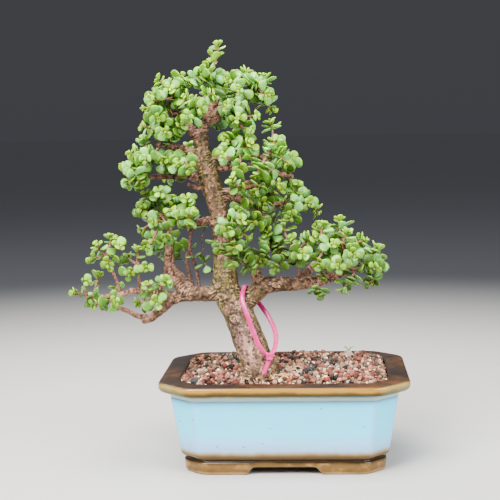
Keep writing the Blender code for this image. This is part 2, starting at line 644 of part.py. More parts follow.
def leaf_points(low, high, out, up, length, width, thick, tilt, sway):
    """Rim and crown points of a leaf that leaves the stem between two edges."""
    base = (low[0] + low[1] + high[0] + high[1]) / 4
    across = up.cross(out).normalized()
    if across.dot(high[1] - high[0]) < 0:
        across = -across
    along = (out * math.cos(tilt) + up * math.sin(tilt) + across * sway).normalized()
    normal = along.cross(across).normalized()
    if normal.dot(up) < 0:
        normal = -normal
    across = (across - along * across.dot(along)).normalized()

    def rim(far, wide):
        return base + along * length * far + across * width * wide

    middle = base + along * length * 0.55
    return {
        "neck": [base + along * length * 0.22 + across * width * wide for wide in (0.2, -0.2)],
        "rim": [rim(0.5, 0.5), rim(0.96, 0.25), rim(0.96, -0.25), rim(0.5, -0.5)],
        "top": middle + normal * thick * 0.55,
        "bottom": middle - normal * thick * 0.45,
        "normal": normal,
        "along": along,
    }


# Faces of a leaf's free part, over its rim (0 to 3), its two crowns and the sides of its neck.
LEAF_FREE_FACES = [(4, 0, 1), (4, 1, 2), (4, 2, 3), (5, 1, 0), (5, 2, 1), (5, 3, 2),
                   (4, 3, 7), (4, 7, 6), (4, 6, 0), (5, 7, 3), (5, 6, 7), (5, 0, 6)]


def leaf_is_clear(leaf, placed):
    """Test a slightly larger copy of the leaf's free part."""
    middle = (leaf["top"] + leaf["bottom"]) / 2
    verts = [middle + (point - middle) * 1.07 for point in leaf["rim"]]
    verts.append(leaf["top"] + leaf["normal"] * 0.35)
    verts.append(leaf["bottom"] - leaf["normal"] * 0.35)
    verts += leaf["neck"]
    return not placed.touches(verts, LEAF_FREE_FACES)


class Spray:
    """One rooted spray of shoots, built as a single closed skin."""

    def __init__(self, name, dice, placed):
        self.name = name
        self.dice = dice
        self.placed = placed
        self.bm = bmesh.new()
        self.sites = []  # stem stretches that can carry a pair of leaves
        self.forks = []  # stem stretches that can carry a side shoot

    def seat(self, tree, near):
        where, normal, _, _ = tree.find_nearest(near)
        centre = where + normal * (GAP + 0.05)
        side = normal.orthogonal().normalized()
        return centre, normal, side

    def add_stem(self, first, rings, segments):
        loops = [first] + [[self.bm.verts.new(point) for point in ring] for ring in rings[1:]]
        order = 0
        for i, (kind, axis, side) in enumerate(segments):
            low, high = loops[i], loops[i + 1]
            sides = []
            for k in range(4):
                j = (k + 1) % 4
                sides.append(self.bm.faces.new((low[k], low[j], high[j], high[k])))
            stretch = {"low": low, "high": high, "faces": sides, "axis": axis, "side": side}
            if kind == "leaf":
                stretch["order"] = order
                stretch["last"] = i == len(segments) - 1
                order += 1
                self.sites.append(stretch)
            elif kind == "fork":
                self.forks.append(stretch)
        self.bm.faces.new(loops[-1])

    def grow(self, tree, near, tips, pairs):
        dice = self.dice
        for attempt in range(12):
            shift = Vector([dice.uniform(-1, 1) for _ in range(3)]) * (0 if attempt == 0 else 3)
            centre, normal, side = self.seat(tree, Vector(near) + shift)
            ring = square_ring(centre, normal, side, SHOOT_BASE)
            forks = len(tips) - 1
            grown = grow_stem(ring, centre, normal, side, Vector(tips[0]), forks, pairs, SHOOT_BASE, dice,
                              self.placed)
            if grown:
                break
        else:
            raise RuntimeError("no room for the main shoot of " + self.name)
        first = [self.bm.verts.new(point) for point in ring]
        self.bm.faces.new(first[::-1])
        self.add_stem(first, *grown)
        self.placed.add(*stem_skin(grown[0], 1.0))
        for tip in tips[1:]:
            if not self.grow_side(Vector(tip), pairs):
                print("side shoot left out:", self.name, tip)

    def grow_side(self, tip, pairs):
        """Grow a side shoot from the free fork face that looks best toward its tip."""
        choices = []
        for fork in self.forks:
            up = fork["axis"].cross(fork["side"])
            outs = (fork["side"], up, -fork["side"], -up)
            for k, out in enumerate(outs):
                if fork["faces"][k] is None:
                    continue
                centre = fork["faces"][k].calc_center_median()
                choices.append(((tip - centre).normalized().dot(out), fork, k, out, centre))
        choices.sort(key=lambda choice: -choice[0])
        for _, fork, k, out, centre in choices[:6]:
            j = (k + 1) % 4
            loop = [fork["low"][k], fork["low"][j], fork["high"][j], fork["high"][k]]
            side = ((loop[0].co + loop[1].co) / 2 - centre).normalized()
            ring = [vert.co.copy() for vert in loop]
            half = SHOOT_BASE * 0.85
            grown = grow_stem(ring, centre, out, side, tip, 0, pairs, half, self.dice, self.placed)
            if grown:
                self.bm.faces.remove(fork["faces"][k])
                fork["faces"][k] = None
                self.add_stem(loop, *grown)
                self.placed.add(*stem_skin(grown[0], 1.0))
                return True
        return False

    def add_leaves(self):
        dice = self.dice
        for site in self.sites:
            up = site["axis"].cross(site["side"])
            outs = (site["side"], up, -site["side"], -up)
            for k in (0, 2) if site["order"] % 2 else (1, 3):
                self.add_leaf(site, k, outs[k], site["order"], site["last"])
        for fork in self.forks:
            up = fork["axis"].cross(fork["side"])
            outs = (fork["side"], up, -fork["side"], -up)
            for k in range(4):
                if fork["faces"][k] and not fork["faces"][(k + 2) % 4] and dice.random() < 0.7:
                    self.add_leaf(fork, k, outs[k], 0, False)

    def add_leaf(self, site, k, out, order, last):
        dice = self.dice
        j = (k + 1) % 4
        low = [site["low"][k], site["low"][j]]
        high = [site["high"][k], site["high"][j]]
        for attempt in range(14):
            size = dice.uniform(0.82, 1.08) * (0.72 if last else 1.0) * (1 - 0.03 * attempt)
            base_tilt = 0.95 if last else 0.3 + 0.2 * order
            leaf = leaf_points([v.co for v in low], [v.co for v in high], out, site["axis"],
                               LEAF_LENGTH * size, LEAF_WIDTH * size, LEAF_THICK * (0.6 + 0.4 * size),
                               base_tilt + dice.uniform(-0.25, 0.3), dice.uniform(-0.3, 0.3))
            if leaf_is_clear(leaf, self.placed):
                break
        else:
            return
        bm = self.bm
        right, far_right, far_left, left = [bm.verts.new(point) for point in leaf["rim"]]
        top, bottom = bm.verts.new(leaf["top"]), bm.verts.new(leaf["bottom"])
        bm.faces.remove(site["faces"][k])
        site["faces"][k] = None
        for crown, edge in ((top, high), (bottom, low)):
            walk = [edge[0], edge[1], right, far_right, far_left, left]
            for a, b in zip(walk, walk[1:] + walk[:1]):
                bm.faces.new((crown, a, b))
        bm.faces.new((low[1], right, high[1]))
        bm.faces.new((low[0], high[0], left))
        points = leaf["rim"] + [leaf["top"], leaf["bottom"]] + leaf["neck"]
        self.placed.add(points, LEAF_FREE_FACES)


def make_sprays(solids, branches, look):
    placed = Placed()
    for made in solids:
        placed.add_object(made)
    trees = {name: object_tree(made) for name, made in branches.items()}
    sprays = []
    for number, (name, (parent, near, tips)) in enumerate(SPRAYS.items()):
        spray = Spray(name, random.Random(101 + number), placed)
        spray.grow(trees[parent], near, tips, LEAF_PAIRS)
        sprays.append(spray)
    for spray in sprays:
        spray.add_leaves()
    for spray in sprays:
        bmesh.ops.triangulate(spray.bm, faces=[face for face in spray.bm.faces if len(face.verts) > 3])
        make_object(spray.name, spray.bm, look)


# ---------------------------------------------------------------- whole plant

def main():
    for old in list(bpy.data.objects):
        bpy.data.objects.remove(old)
    glaze = material("sky_blue_glaze", (0.50, 0.77, 0.87), 0.25)
    grit = material("bonsai_soil", (0.42, 0.27, 0.20), 0.95)
    mesh_plastic = material("screen_plastic", (0.03, 0.03, 0.03), 0.5)
    wire_metal = material("soft_aluminium_wire", (0.60, 0.55, 0.50), 0.4, 1.0)
    bark = material("jade_bark", (0.30, 0.22, 0.15), 0.85)
    green = material("jade_leaf", (0.20, 0.42, 0.07), 0.35)
    pink = material("pink_tag_plastic", (0.85, 0.14, 0.42), 0.35)
    stone = material("pointed_stone_grey", (0.55, 0.45, 0.42), 0.9)

    pot = make_pot(glaze)
    soil = make_soil(grit)
    for end, x in (("left", -DRAIN_X), ("right", DRAIN_X)):
        make_screen("drain_screen_" + end, x, mesh_plastic)
        make_clip("screen_clip_" + end, x, wire_metal)
    branches = make_branches(bark)
    combine(soil, make_wood("root_cutter", TRUNK[:6], GAP), "DIFFERENCE")
    combine(soil, make_stone("stone_cutter", GAP), "DIFFERENCE")
    keep_largest_body(soil)
    pebble = make_stone("pointed_stone", 0.0, stone)
    strap = make_strap(pink)
    solids = [pot, soil, pebble, strap, *branches.values()]
    make_sprays(solids, branches, green)


main()
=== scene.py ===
"""A dwarf jade bonsai in its glazed pot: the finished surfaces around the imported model."""

import heapq
import math
import random

import bmesh
import bpy
import numpy as np
from mathutils import Matrix, Vector, noise
from mathutils.bvhtree import BVHTree


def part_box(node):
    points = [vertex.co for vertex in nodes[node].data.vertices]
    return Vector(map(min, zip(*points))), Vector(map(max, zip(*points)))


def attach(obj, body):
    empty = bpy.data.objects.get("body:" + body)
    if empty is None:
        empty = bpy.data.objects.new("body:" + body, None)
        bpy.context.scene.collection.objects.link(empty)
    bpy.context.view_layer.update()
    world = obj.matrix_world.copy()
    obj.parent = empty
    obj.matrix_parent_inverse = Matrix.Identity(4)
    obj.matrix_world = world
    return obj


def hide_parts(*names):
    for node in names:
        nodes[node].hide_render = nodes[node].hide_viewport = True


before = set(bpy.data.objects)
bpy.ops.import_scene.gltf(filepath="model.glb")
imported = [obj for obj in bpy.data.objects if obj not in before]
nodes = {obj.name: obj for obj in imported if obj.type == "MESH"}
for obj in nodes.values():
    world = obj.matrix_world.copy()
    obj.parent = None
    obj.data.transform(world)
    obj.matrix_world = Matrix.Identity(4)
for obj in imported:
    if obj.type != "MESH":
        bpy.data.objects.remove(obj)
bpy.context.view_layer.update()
MM = 0.001

# ================================================================ camera, floor and lights
# A camera about a metre in front of the pot, a little above its rim, looks slightly down.
# The plant stands on a plain pale floor in soft light from a large lamp over its front left.


def placed(name, data):
    """A new object in the scene."""
    piece = bpy.data.objects.new(name, data)
    bpy.context.scene.collection.objects.link(piece)
    return piece


def added(operator, **settings):
    """The object that one of Blender's adding operators makes."""
    bpy.ops.object.select_all(action="DESELECT")
    operator(**settings)
    return bpy.context.object


CAMERA_PLACE = (0.0726, -1.0873, 0.2985)
YAW, PITCH, ROLL = 3.4, 5.92, 1.15  # degrees: to the left, down, and over to the right
camera = placed("view", bpy.data.cameras.new("view"))
camera.data.lens = 88.75
camera.data.sensor_width = 36.0
camera.data.clip_start, camera.data.clip_end = 0.05, 50.0
camera.matrix_world = (
    Matrix.Translation(CAMERA_PLACE)
    @ Matrix.Rotation(math.radians(YAW), 4, "Z")
    @ Matrix.Rotation(math.radians(90 - PITCH), 4, "X")
    @ Matrix.Rotation(math.radians(-ROLL), 4, "Z")
)
bpy.context.scene.camera = camera

MIDDLE = Vector((0.0, 0.0, 0.2))
LAMPS = {  # place, width, power and colour; each is a soft square that faces the plant's middle
    "key": ((-0.75, -1.25, 1.45), 1.0, 132.0, (1.0, 0.98, 0.95)),
    "fill": ((1.4, -1.05, 1.15), 1.3, 72.0, (0.93, 0.96, 1.0)),
    "rim": ((-0.9, 1.3, 1.8), 1.0, 30.0, (1.0, 1.0, 1.0)),
    "top": ((-0.15, -0.25, 1.9), 0.9, 48.0, (1.0, 1.0, 0.98)),
}
for name, (place, width, power, colour) in LAMPS.items():
    lamp = bpy.data.lights.new(name, "AREA")
    lamp.size, lamp.energy, lamp.color = width, power, colour
    holder = placed(name, lamp)
    holder.location = place
    holder.rotation_euler = (MIDDLE - Vector(place)).to_track_quat("-Z", "Y").to_euler()

floor = added(bpy.ops.mesh.primitive_circle_add, vertices=96, radius=24.0, fill_type="NGON",
              location=(0, 0, -0.0001))
floor.name = "floor"


class Sample:
    """A value that changes over a surface: one output socket, with the usual arithmetic."""

    def __init__(self, tree, socket):
        self.tree = tree
        self.socket = socket

    def made(self, kind, settings, sockets, out=0):
        """Any other node: its settings are set first, then its sockets are filled or linked."""
        node = self.tree.nodes.new(kind)
        for name, value in settings.items():
            if name == "stops":
                ramp = node.color_ramp
                while len(ramp.elements) < len(value):
                    ramp.elements.new(0.5)
                for element, (place, colour) in zip(ramp.elements, value):
                    element.position = place
                    element.color = colour
            else:
                setattr(node, name, value)
        for name, value in sockets.items():
            if isinstance(value, Sample):
                self.tree.links.new(value.socket, node.inputs[name])
            else:
                node.inputs[name].default_value = value
        return Sample(self.tree, node.outputs[out])

    def maths(self, operation, *values):
        return self.made("ShaderNodeMath", {"operation": operation}, dict(enumerate(values or [self])))

    def __add__(self, other):
        return self.maths("ADD", self, other)

    def __radd__(self, other):
        return self.maths("ADD", other, self)

    def __sub__(self, other):
        return self.maths("SUBTRACT", self, other)

    def __rsub__(self, other):
        return self.maths("SUBTRACT", other, self)

    def __mul__(self, other):
        return self.maths("MULTIPLY", self, other)

    def __rmul__(self, other):
        return self.maths("MULTIPLY", other, self)

    def __abs__(self):
        return self.maths("ABSOLUTE", self)

    def least(self, other):
        return self.maths("MINIMUM", self, other)

    def most(self, other):
        return self.maths("MAXIMUM", self, other)

    def axis(self, letter):
        return self.made("ShaderNodeSeparateXYZ", {}, {0: self}, letter)

    def step(self, low, high):
        """0 below low, 1 above high, smooth between."""
        sockets = {"Value": self, "From Min": low, "From Max": high}
        return self.made("ShaderNodeMapRange", {"interpolation_type": "SMOOTHSTEP"}, sockets)

    def blend(self, none, full):
        """Colour that goes from none to full as this value goes from 0 to 1."""
        sockets = {"Factor": self, 6: none, 7: full}
        return self.made("ShaderNodeMix", {"data_type": "RGBA"}, sockets, 2)

    def ramp(self, stops):
        return self.made("ShaderNodeValToRGB", {"stops": stops}, {"Fac": self})

    def stretched(self, x, y, z):
        """This place with each direction scaled, for grain that runs one way."""
        return self.made("ShaderNodeVectorMath", {"operation": "MULTIPLY"}, {0: self, 1: (x, y, z)})

    def cloud(self, size, detail=3.0, rough=0.55):
        """Soft noise over this place, from 0 to 1, with lumps of a size in metres."""
        sockets = {"Vector": self, "Scale": 1.0 / size, "Detail": detail, "Roughness": rough}
        return self.made("ShaderNodeTexNoise", {}, sockets)

    def cells(self, size):
        """Distance from the middle of the nearest cell, for cells of a size in metres."""
        return self.made("ShaderNodeTexVoronoi", {}, {"Vector": self, "Scale": 1.0 / size}, "Distance")

    def under(self, *coats):
        """This colour under further coats, each a share and the values of its paint."""
        colour = self
        for share, chart in coats:
            colour = share.blend(colour, paint(*chart))
        return colour


def paint(red, green, blue):
    """Linear colour from the 0 to 255 values of a paint chart."""
    levels = [c / 255 for c in (red, green, blue)]
    return (*[c / 12.92 if c <= 0.04045 else ((c + 0.055) / 1.055) ** 2.4 for c in levels], 1.0)


def dress(piece, finish):
    """Give a piece one finish and no other."""
    piece.data.materials.clear()
    piece.data.materials.append(finish.material)


class Finish:
    """A material with its shader, fed by samples or by constant values."""

    def __init__(self, name, **constants):
        self.material = bpy.data.materials.new(name)
        self.material.use_nodes = True
        self.tree = self.material.node_tree
        self.shader = self.tree.nodes["Principled BSDF"]
        for socket, value in constants.items():
            self.shader.inputs[socket.replace("_", " ")].default_value = value
        self.place = self.read("ShaderNodeTexCoord", "Object")

    def read(self, kind, out, **settings):
        node = self.tree.nodes.new(kind)
        for name, value in settings.items():
            setattr(node, name, value)
        return Sample(self.tree, node.outputs[out])

    def mark(self, name, out="Fac"):
        """A value that the mesh carries under a name."""
        return self.read("ShaderNodeAttribute", out, attribute_name=name)

    def feed(self, socket, sample):
        self.tree.links.new(sample.socket, self.shader.inputs[socket])

    def bump(self, height, depth):
        """Raise the surface by a sample from 0 to 1, to a depth in metres."""
        self.feed("Normal", height.made("ShaderNodeBump", {}, {"Height": height, "Distance": depth}))


# The studio is bright overhead and dark behind, which keeps the gloss of the rim dark.
world = bpy.data.worlds.new("studio")
world.use_nodes = True
room_tree = world.node_tree
whereabouts = room_tree.nodes.new("ShaderNodeTexCoord")
upward = Sample(room_tree, whereabouts.outputs["Generated"]).axis("Z")
shades = upward.ramp([(0.0, (0.040, 0.042, 0.048, 1)), (0.22, (0.045, 0.046, 0.05, 1)),
                      (0.5, (0.55, 0.58, 0.62, 1)), (1.0, (0.95, 0.98, 1.0, 1))])
lit = room_tree.nodes["Background"]
room_tree.links.new(shades.socket, lit.inputs["Color"])
lit.inputs["Strength"].default_value = 1.35
bpy.context.scene.world = world

# The floor paper is pale round the pot and falls away to the dark of the studio.
floor_paper = Finish("floor_paper", Roughness=0.9, Specular_IOR_Level=0.2)
place = floor_paper.place
from_middle = place.made("ShaderNodeVectorMath", {"operation": "LENGTH"}, {0: place}, "Value")
pale = place.cloud(0.5).blend(paint(176, 173, 168), paint(182, 180, 176))
floor_paper.feed("Base Color", from_middle.step(0.22, 1.35).blend(pale, paint(44, 45, 49)))
dress(floor, floor_paper)

# ================================================================ pot
# A slip-cast stoneware pot, a rectangle with cut corners, on a foot ring with four low arches.
# It is glazed sky blue on its body, and the glaze breaks brown on the rim and at the foot.


def alone(piece):
    """Select one object and nothing else."""
    if bpy.context.mode != "OBJECT":
        bpy.ops.object.mode_set(mode="OBJECT")
    bpy.ops.object.select_all(action="DESELECT")
    piece.select_set(True)
    bpy.context.view_layer.objects.active = piece


def pick(parts, test):
    """In edit mode, select just the verts, edges or faces that pass a test."""
    bpy.ops.mesh.select_mode(type=parts.upper()[:-1])
    mesh = bpy.context.edit_object.data
    shape = bmesh.from_edit_mesh(mesh)
    for part in (*shape.faces, *shape.edges, *shape.verts):
        part.select = False
    for part in getattr(shape, parts):
        part.select_set(bool(test(part)))
    shape.select_flush_mode()
    bmesh.update_edit_mesh(mesh)


def settle(piece):
    """Put the object's own place and turn into its mesh."""
    alone(piece)
    bpy.ops.object.transform_apply(location=True, rotation=True, scale=True)


def modify(piece, kind, **settings):
    """Add a modifier and apply it."""
    alone(piece)
    modifier = piece.modifiers.new(kind.lower(), kind)
    for name, value in settings.items():
        setattr(modifier, name, value)
    bpy.ops.object.modifier_apply(modifier=modifier.name)


def cut_with(piece, cutter):
    modify(piece, "BOOLEAN", operation="DIFFERENCE", solver="EXACT", object=cutter)
    bpy.data.objects.remove(cutter)


def edit(piece=None):
    """Go into edit mode on an object, or out of it where none is given."""
    if piece:
        alone(piece)
    bpy.ops.object.mode_set(mode="EDIT" if piece else "OBJECT")


pot_low, pot_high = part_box("pot")
pot_x, pot_y = (pot_low.x + pot_high.x) / 2, (pot_low.y + pot_high.y) / 2


def beside(x, y, z):
    """A place beside the pot's middle and above the floor, given in millimetres."""
    return (pot_x + x * MM, pot_y + y * MM, z * MM)


def between(low, high, share):
    return tuple(a + (b - a) * share for a, b in zip(low, high))


# Half length, half depth and corner cut, in millimetres, of the outlines that the pot follows.
FOOT = (86.5, 66.5, 16.0)
BODY_LOW = (89.5, 69.5, 16.0)
BODY_HIGH = (97.5, 73.5, 20.5)
RIM = (108.0, 83.0, 25.0)
MOUTH = (89.5, 64.5, 17.0)
WELL = (81.5, 60.5, 12.0)
UNDER = (73.5, 53.5, 11.0)


def grown(outline, by):
    return (outline[0] + by, outline[1] + by, outline[2])


# Each ring of the pot is an outline and its height, from under the foot, up the outside, over the
# rim and down to the floor inside.
BODY_FROM, BODY_RISE, LIP_TOP = 17.4, 46.8, 78.7
pot_rings = [
    (*UNDER, 8.0), (*UNDER, 1.0), (*grown(UNDER, 1.0), 0.0), (*grown(FOOT, -1.6), 0.0),
    (*grown(FOOT, -0.4), 0.7), (*FOOT, 2.0), (*grown(FOOT, 0.8), 9.6), (*grown(FOOT, 0.5), 10.6),
    (*grown(FOOT, -0.5), 11.3), (*grown(FOOT, -0.6), 12.1), (*grown(FOOT, 0.5), 12.9),
    (*grown(BODY_LOW, -1.5), 14.6), (*grown(BODY_LOW, -0.5), 15.9), (*BODY_LOW, BODY_FROM),
]
pot_rings += [(*between(BODY_LOW, BODY_HIGH, share), BODY_FROM + BODY_RISE * share)
              for share in (0.25, 0.5, 0.75, 1.0)]
COVE = [(-0.03, 65.0), (0.02, 65.9), (0.12, 67.1), (0.27, 68.3), (0.47, 69.3), (0.70, 70.1), (0.86, 70.9),
        (0.96, 72.1), (1.0, 73.6), (1.0, 76.2), (0.955, 77.6), (0.87, 78.4), (0.76, LIP_TOP)]
pot_rings += [(*between(BODY_HIGH, RIM, share), height) for share, height in COVE]
pot_rings += [(*between(RIM, MOUTH, share), LIP_TOP) for share in (0.4, 0.65, 0.88)]
pot_rings += [(*between(RIM, MOUTH, 0.97), 78.2), (*MOUTH, 76.6), (*between(MOUTH, WELL, 0.1), 71.0),
              (*WELL, 17.0)]

pot = added(bpy.ops.mesh.primitive_plane_add, size=2.0, location=beside(0, 0, pot_rings[0][3]))
pot.name = "glazed_pot"
length, depth, cut, height = pot_rings[0]
pot.scale = (length * MM, depth * MM, 1.0)
settle(pot)
edit(pot)
bpy.ops.mesh.bevel(offset=cut * MM, affect="VERTICES")
bpy.ops.mesh.flip_normals()


def at(value, target):
    return abs(value - target) < 0.00002


for new_length, new_depth, new_cut, new_height in pot_rings[1:]:
    centre = (pot_x, pot_y, new_height * MM)
    rise = (0.0, 0.0, (new_height - height) * MM)
    bpy.ops.mesh.extrude_region_move(TRANSFORM_OT_translate={"value": rise})
    wider = (new_length / length, new_depth / depth, 1.0)
    bpy.ops.transform.resize(value=wider, center_override=centre)
    ends = (new_length - new_cut) / (new_length * (1 - cut / length))
    sides = (new_depth - new_cut) / (new_depth * (1 - cut / depth))
    top = {v.index for v in bmesh.from_edit_mesh(pot.data).verts if v.select}
    pick("verts", lambda v: v.index in top and at(abs(v.co.y - pot_y), new_depth * MM))
    bpy.ops.transform.resize(value=(ends, 1.0, 1.0), center_override=centre)
    pick("verts", lambda v: v.index in top and at(abs(v.co.x - pot_x), new_length * MM))
    bpy.ops.transform.resize(value=(1.0, sides, 1.0), center_override=centre)
    pick("faces", lambda f: all(v.index in top for v in f.verts))
    length, depth, cut, height = new_length, new_depth, new_cut, new_height

# The upright corners are softened, as a cast pot's are. Those of the foot and rim are the roundest.
pick("edges", lambda e: abs(e.verts[0].co.z - e.verts[1].co.z) > 0.00005 or e.calc_length() < 0.0095)
sharp = [v.co.copy() for v in bmesh.from_edit_mesh(pot.data).verts]
bpy.ops.mesh.bevel(offset=2.2 * MM, segments=4, affect="EDGES", clamp_overlap=True)
ROUNDER = ((0.0, 13.0, 15.5, 65.0, 70.0, 79.0), (2.3, 2.3, 1.0, 1.0, 3.2, 3.2))  # heights and factors
SAME_LEVEL, CORNER_REACH = 0.02 * MM, 3.4 * MM
shape = bmesh.from_edit_mesh(pot.data)
for vert in shape.verts:
    level = [p for p in sharp if abs(p.z - vert.co.z) < SAME_LEVEL]
    corner = min(level, key=lambda p: (p - vert.co).length, default=None)
    if corner is not None and (corner - vert.co).length < CORNER_REACH:
        vert.co = corner + (vert.co - corner) * float(np.interp(vert.co.z / MM, *ROUNDER))
bmesh.update_edit_mesh(pot.data)
bpy.ops.mesh.select_all(action="SELECT")
bpy.ops.mesh.remove_doubles(threshold=0.00001)
bpy.ops.mesh.normals_make_consistent(inside=False)
edit()

# Two wedges cut the arches through the foot ring, and two pegs cut the drain holes.
ARCH_HEIGHT, ARCH_SLOPE = 6.5, 5.0
for half_x, half_y, slope_axis in ((32.0, 100.0, 0), (125.0, 22.0, 1)):
    wedge = added(bpy.ops.mesh.primitive_cube_add, size=2.0, location=beside(0, 0, 0))
    wedge.scale = (half_x * MM, half_y * MM, ARCH_HEIGHT * MM)
    settle(wedge)
    edit(wedge)
    for sign, high in ((-1, True), (1, False)):
        half = (half_x, half_y)[slope_axis]
        share = 1 + sign * ARCH_SLOPE / half
        value = (share, 1.0, 1.0) if slope_axis == 0 else (1.0, share, 1.0)
        pick("verts", lambda v: (v.co.z > 0) == high)
        bpy.ops.transform.resize(value=value, center_override=beside(0, 0, 0))
    pick("edges", lambda e: e.calc_length() > 0.1 and e.verts[0].co.z > 0)
    bpy.ops.mesh.bevel(offset=2.4 * MM, segments=3, affect="EDGES")
    edit()
    cut_with(pot, wedge)
edit(pot)
ARCH_TOP, SHARP_ANGLE = 7.5 * MM, 0.84
pick("edges", lambda e: e.is_manifold and max(v.co.z for v in e.verts) < ARCH_TOP
     and e.calc_face_angle() > SHARP_ANGLE)
bpy.ops.mesh.bevel(offset=1.3 * MM, segments=3, affect="EDGES", clamp_overlap=True)
edit()
for side in ("left", "right"):
    low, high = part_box("drain_screen_" + side)
    place = ((low.x + high.x) / 2, (low.y + high.y) / 2, 12.5 * MM)
    peg = added(bpy.ops.mesh.primitive_cylinder_add, vertices=40, radius=14.0 * MM, depth=14 * MM,
                location=place)
    settle(peg)
    cut_with(pot, peg)
modify(pot, "BEVEL", width=0.55 * MM, segments=2, limit_method="ANGLE", angle_limit=math.radians(32))
alone(pot)
bpy.ops.object.shade_smooth_by_angle(angle=math.radians(38))

# Inner walls are marked, so that the brown of the mouth goes down inside.
inner = pot.data.attributes.new("inner_wall", "FLOAT", "FACE")
for face in pot.data.polygons:
    outward = Vector((face.center.x - pot_x, face.center.y - pot_y, 0.0)).normalized()
    inner.data[face.index].value = 1.0 if outward.dot(face.normal) < -0.2 else 0.0

pot_glaze = Finish("pot_glaze", Coat_Roughness=0.08, Specular_IOR_Level=0.2)
place = pot_glaze.place
height = place.axis("Z") * 1000.0
drift = (place.stretched(1.0, 1.0, 0.4).cloud(0.018) - 0.5) * 3.4
run = (place.cloud(0.006) - 0.5) * 1.8 + (place.cloud(0.03, 2.0) - 0.5) * 4.0
GLAZE_TOP = 80.0
GLAZE = [  # height on the pot in millimetres, and the paint there
    (0.0, (168, 134, 88)), (1.4, (156, 120, 70)), (3.0, (98, 70, 28)), (7.5, (104, 74, 30)),
    # The stops from 9.8 to 12.6 mm paint the groove between foot and body near black, as painted shade in the
    # groove.
    (9.8, (72, 50, 18)), (11.2, (30, 18, 7)), (12.6, (50, 34, 12)), (15.8, (84, 60, 22)),
    (17.6, (112, 84, 36)), (19.4, (150, 138, 116)), (21.5, (142, 176, 214)), (28.0, (132, 194, 240)),
    # The stops at 63.2 and 64.8 mm paint a blue grey band round the top of the body as painted shade under
    # the cove's overhang.
    (36.0, (84, 214, 253)), (52.0, (72, 216, 255)), (61.0, (76, 216, 255)), (63.2, (106, 196, 230)),
    (64.8, (104, 156, 184)), (66.0, (160, 184, 184)), (68.2, (170, 174, 138)), (69.6, (128, 114, 52)),
    (71.0, (66, 44, 5)), (72.6, (66, 45, 5)), (74.0, (98, 70, 12)), (75.4, (150, 112, 34)),
    (77.2, (154, 112, 36)), (77.9, (104, 64, 14)), (78.4, (44, 26, 9)), (GLAZE_TOP, (22, 13, 7)),
]


def belt(low, low_full, high_full, high):
    """1 between two heights in millimetres and 0 beyond them, with soft ends."""
    return height.step(low, low_full) * (1.0 - height.step(high_full, high))


off_edge = (1.0 - height.step(11.0, 13.0) + height.step(13.5, 17.0)).least(1.0)
wandering = (height + drift * off_edge * (1.0 - height.step(60.0, 63.0))
             + run * belt(66.5, 71.0, 76.0, 77.6))
body = (wandering * (1.0 / GLAZE_TOP)).ramp([(level / GLAZE_TOP, paint(*chart)) for level, chart in GLAZE])
streaks = place.stretched(1.0, 1.0, 3.0).cloud(0.010, 4.0, 0.6)
mouth = streaks.step(0.35, 0.7).blend(paint(18, 12, 6), paint(44, 27, 12))
rusty = streaks.step(0.3, 0.7).blend(paint(40, 24, 10), paint(74, 45, 20))
mouth = place.cloud(0.07, 1.0).step(0.40, 0.62).blend(mouth, rusty)
# The glaze pools pale green at the corners of the rim.
across, deep = abs(place.axis("X") - pot_x) * 1000.0, abs(place.axis("Y") - pot_y) * 1000.0
pooled = ((across * 0.72 + deep * 0.72).step(116.0, 123.0) * height.step(68.5, 71.0)
          * (0.35 + place.cloud(0.016).step(0.3, 0.7) * 0.4))
body = height.step(78.35, 78.6).blend(body.under((pooled, (150, 160, 112))), mouth)
patch = place.cloud(0.045, 2.0).step(0.45, 0.75) * belt(20.0, 26.0, 60.0, 64.0)
buff = place.stretched(1.0, 1.0, 1.8).cloud(0.014, 3.0, 0.6)
low_band = belt(1.5, 3.0, 9.0, 10.8)
# It thins to pale lavender along the upright edges.
upright = abs(across - 73.5 - (height - BODY_FROM) * 0.075).least(abs(deep - 53.3))
thin = (1.0 - upright.step(0.6, 3.2)) * belt(19.0, 24.0, 60.0, 66.0)
specks = (1.0 - place.cells(0.011).step(0.045, 0.075)) * belt(20.0, 24.0, 62.0, 66.0)
body = body.under(
    (pot_glaze.mark("inner_wall"), (36, 24, 14)), (patch * 0.5, (92, 216, 232)),
    (buff.step(0.50, 0.66) * low_band * 0.7, (148, 110, 60)),
    ((1.0 - buff.step(0.30, 0.44)) * low_band * 0.5, (66, 44, 15)),
    (thin * 0.5, (138, 184, 238)), (specks * 0.85, (60, 78, 82)))
pot_glaze.feed("Base Color", body)
foot_dull, rim_dull = 1.0 - height.step(0.5, 3.0), height.step(77.9, 78.6)
pot_glaze.feed("Roughness", place.cloud(0.012) * 0.10 + 0.15 + foot_dull * 0.5 + rim_dull * 0.24)
lip_coat = 1.0 - height.step(69.0, 71.0) * 0.5
pot_glaze.feed("Coat Weight", (1.0 - foot_dull) * (1.0 - rim_dull) * lip_coat * 0.3)
pot_glaze.bump(place.cloud(0.014, 2.0) * 0.7 + place.cloud(0.0016, 2.0) * 0.06, 0.0005)
dress(pot, pot_glaze)
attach(pot, "root")
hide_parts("pot")

# ================================================================ drain screens and their clips
# A square of black plastic mesh lies over each drain hole, under the soil. A staple of bent
# aluminium wire goes down through the hole and holds it.

screen_plastic = Finish("screen_plastic", Specular_IOR_Level=0.4)
scuff = screen_plastic.place.cloud(0.003)
screen_plastic.feed("Base Color", scuff.blend(paint(26, 26, 27), paint(52, 51, 50)))
screen_plastic.feed("Roughness", scuff * 0.25 + 0.4)
clip_wire = Finish("clip_wire", Metallic=1.0)
scuff = clip_wire.place.cloud(0.002)
clip_wire.feed("Base Color", scuff.blend(paint(150, 142, 132), paint(196, 190, 182)))
clip_wire.feed("Roughness", scuff * 0.25 + 0.3)
for side in ("left", "right"):
    for name, finish in (("drain_screen_", screen_plastic), ("screen_clip_", clip_wire)):
        dress(nodes[name + side], finish)

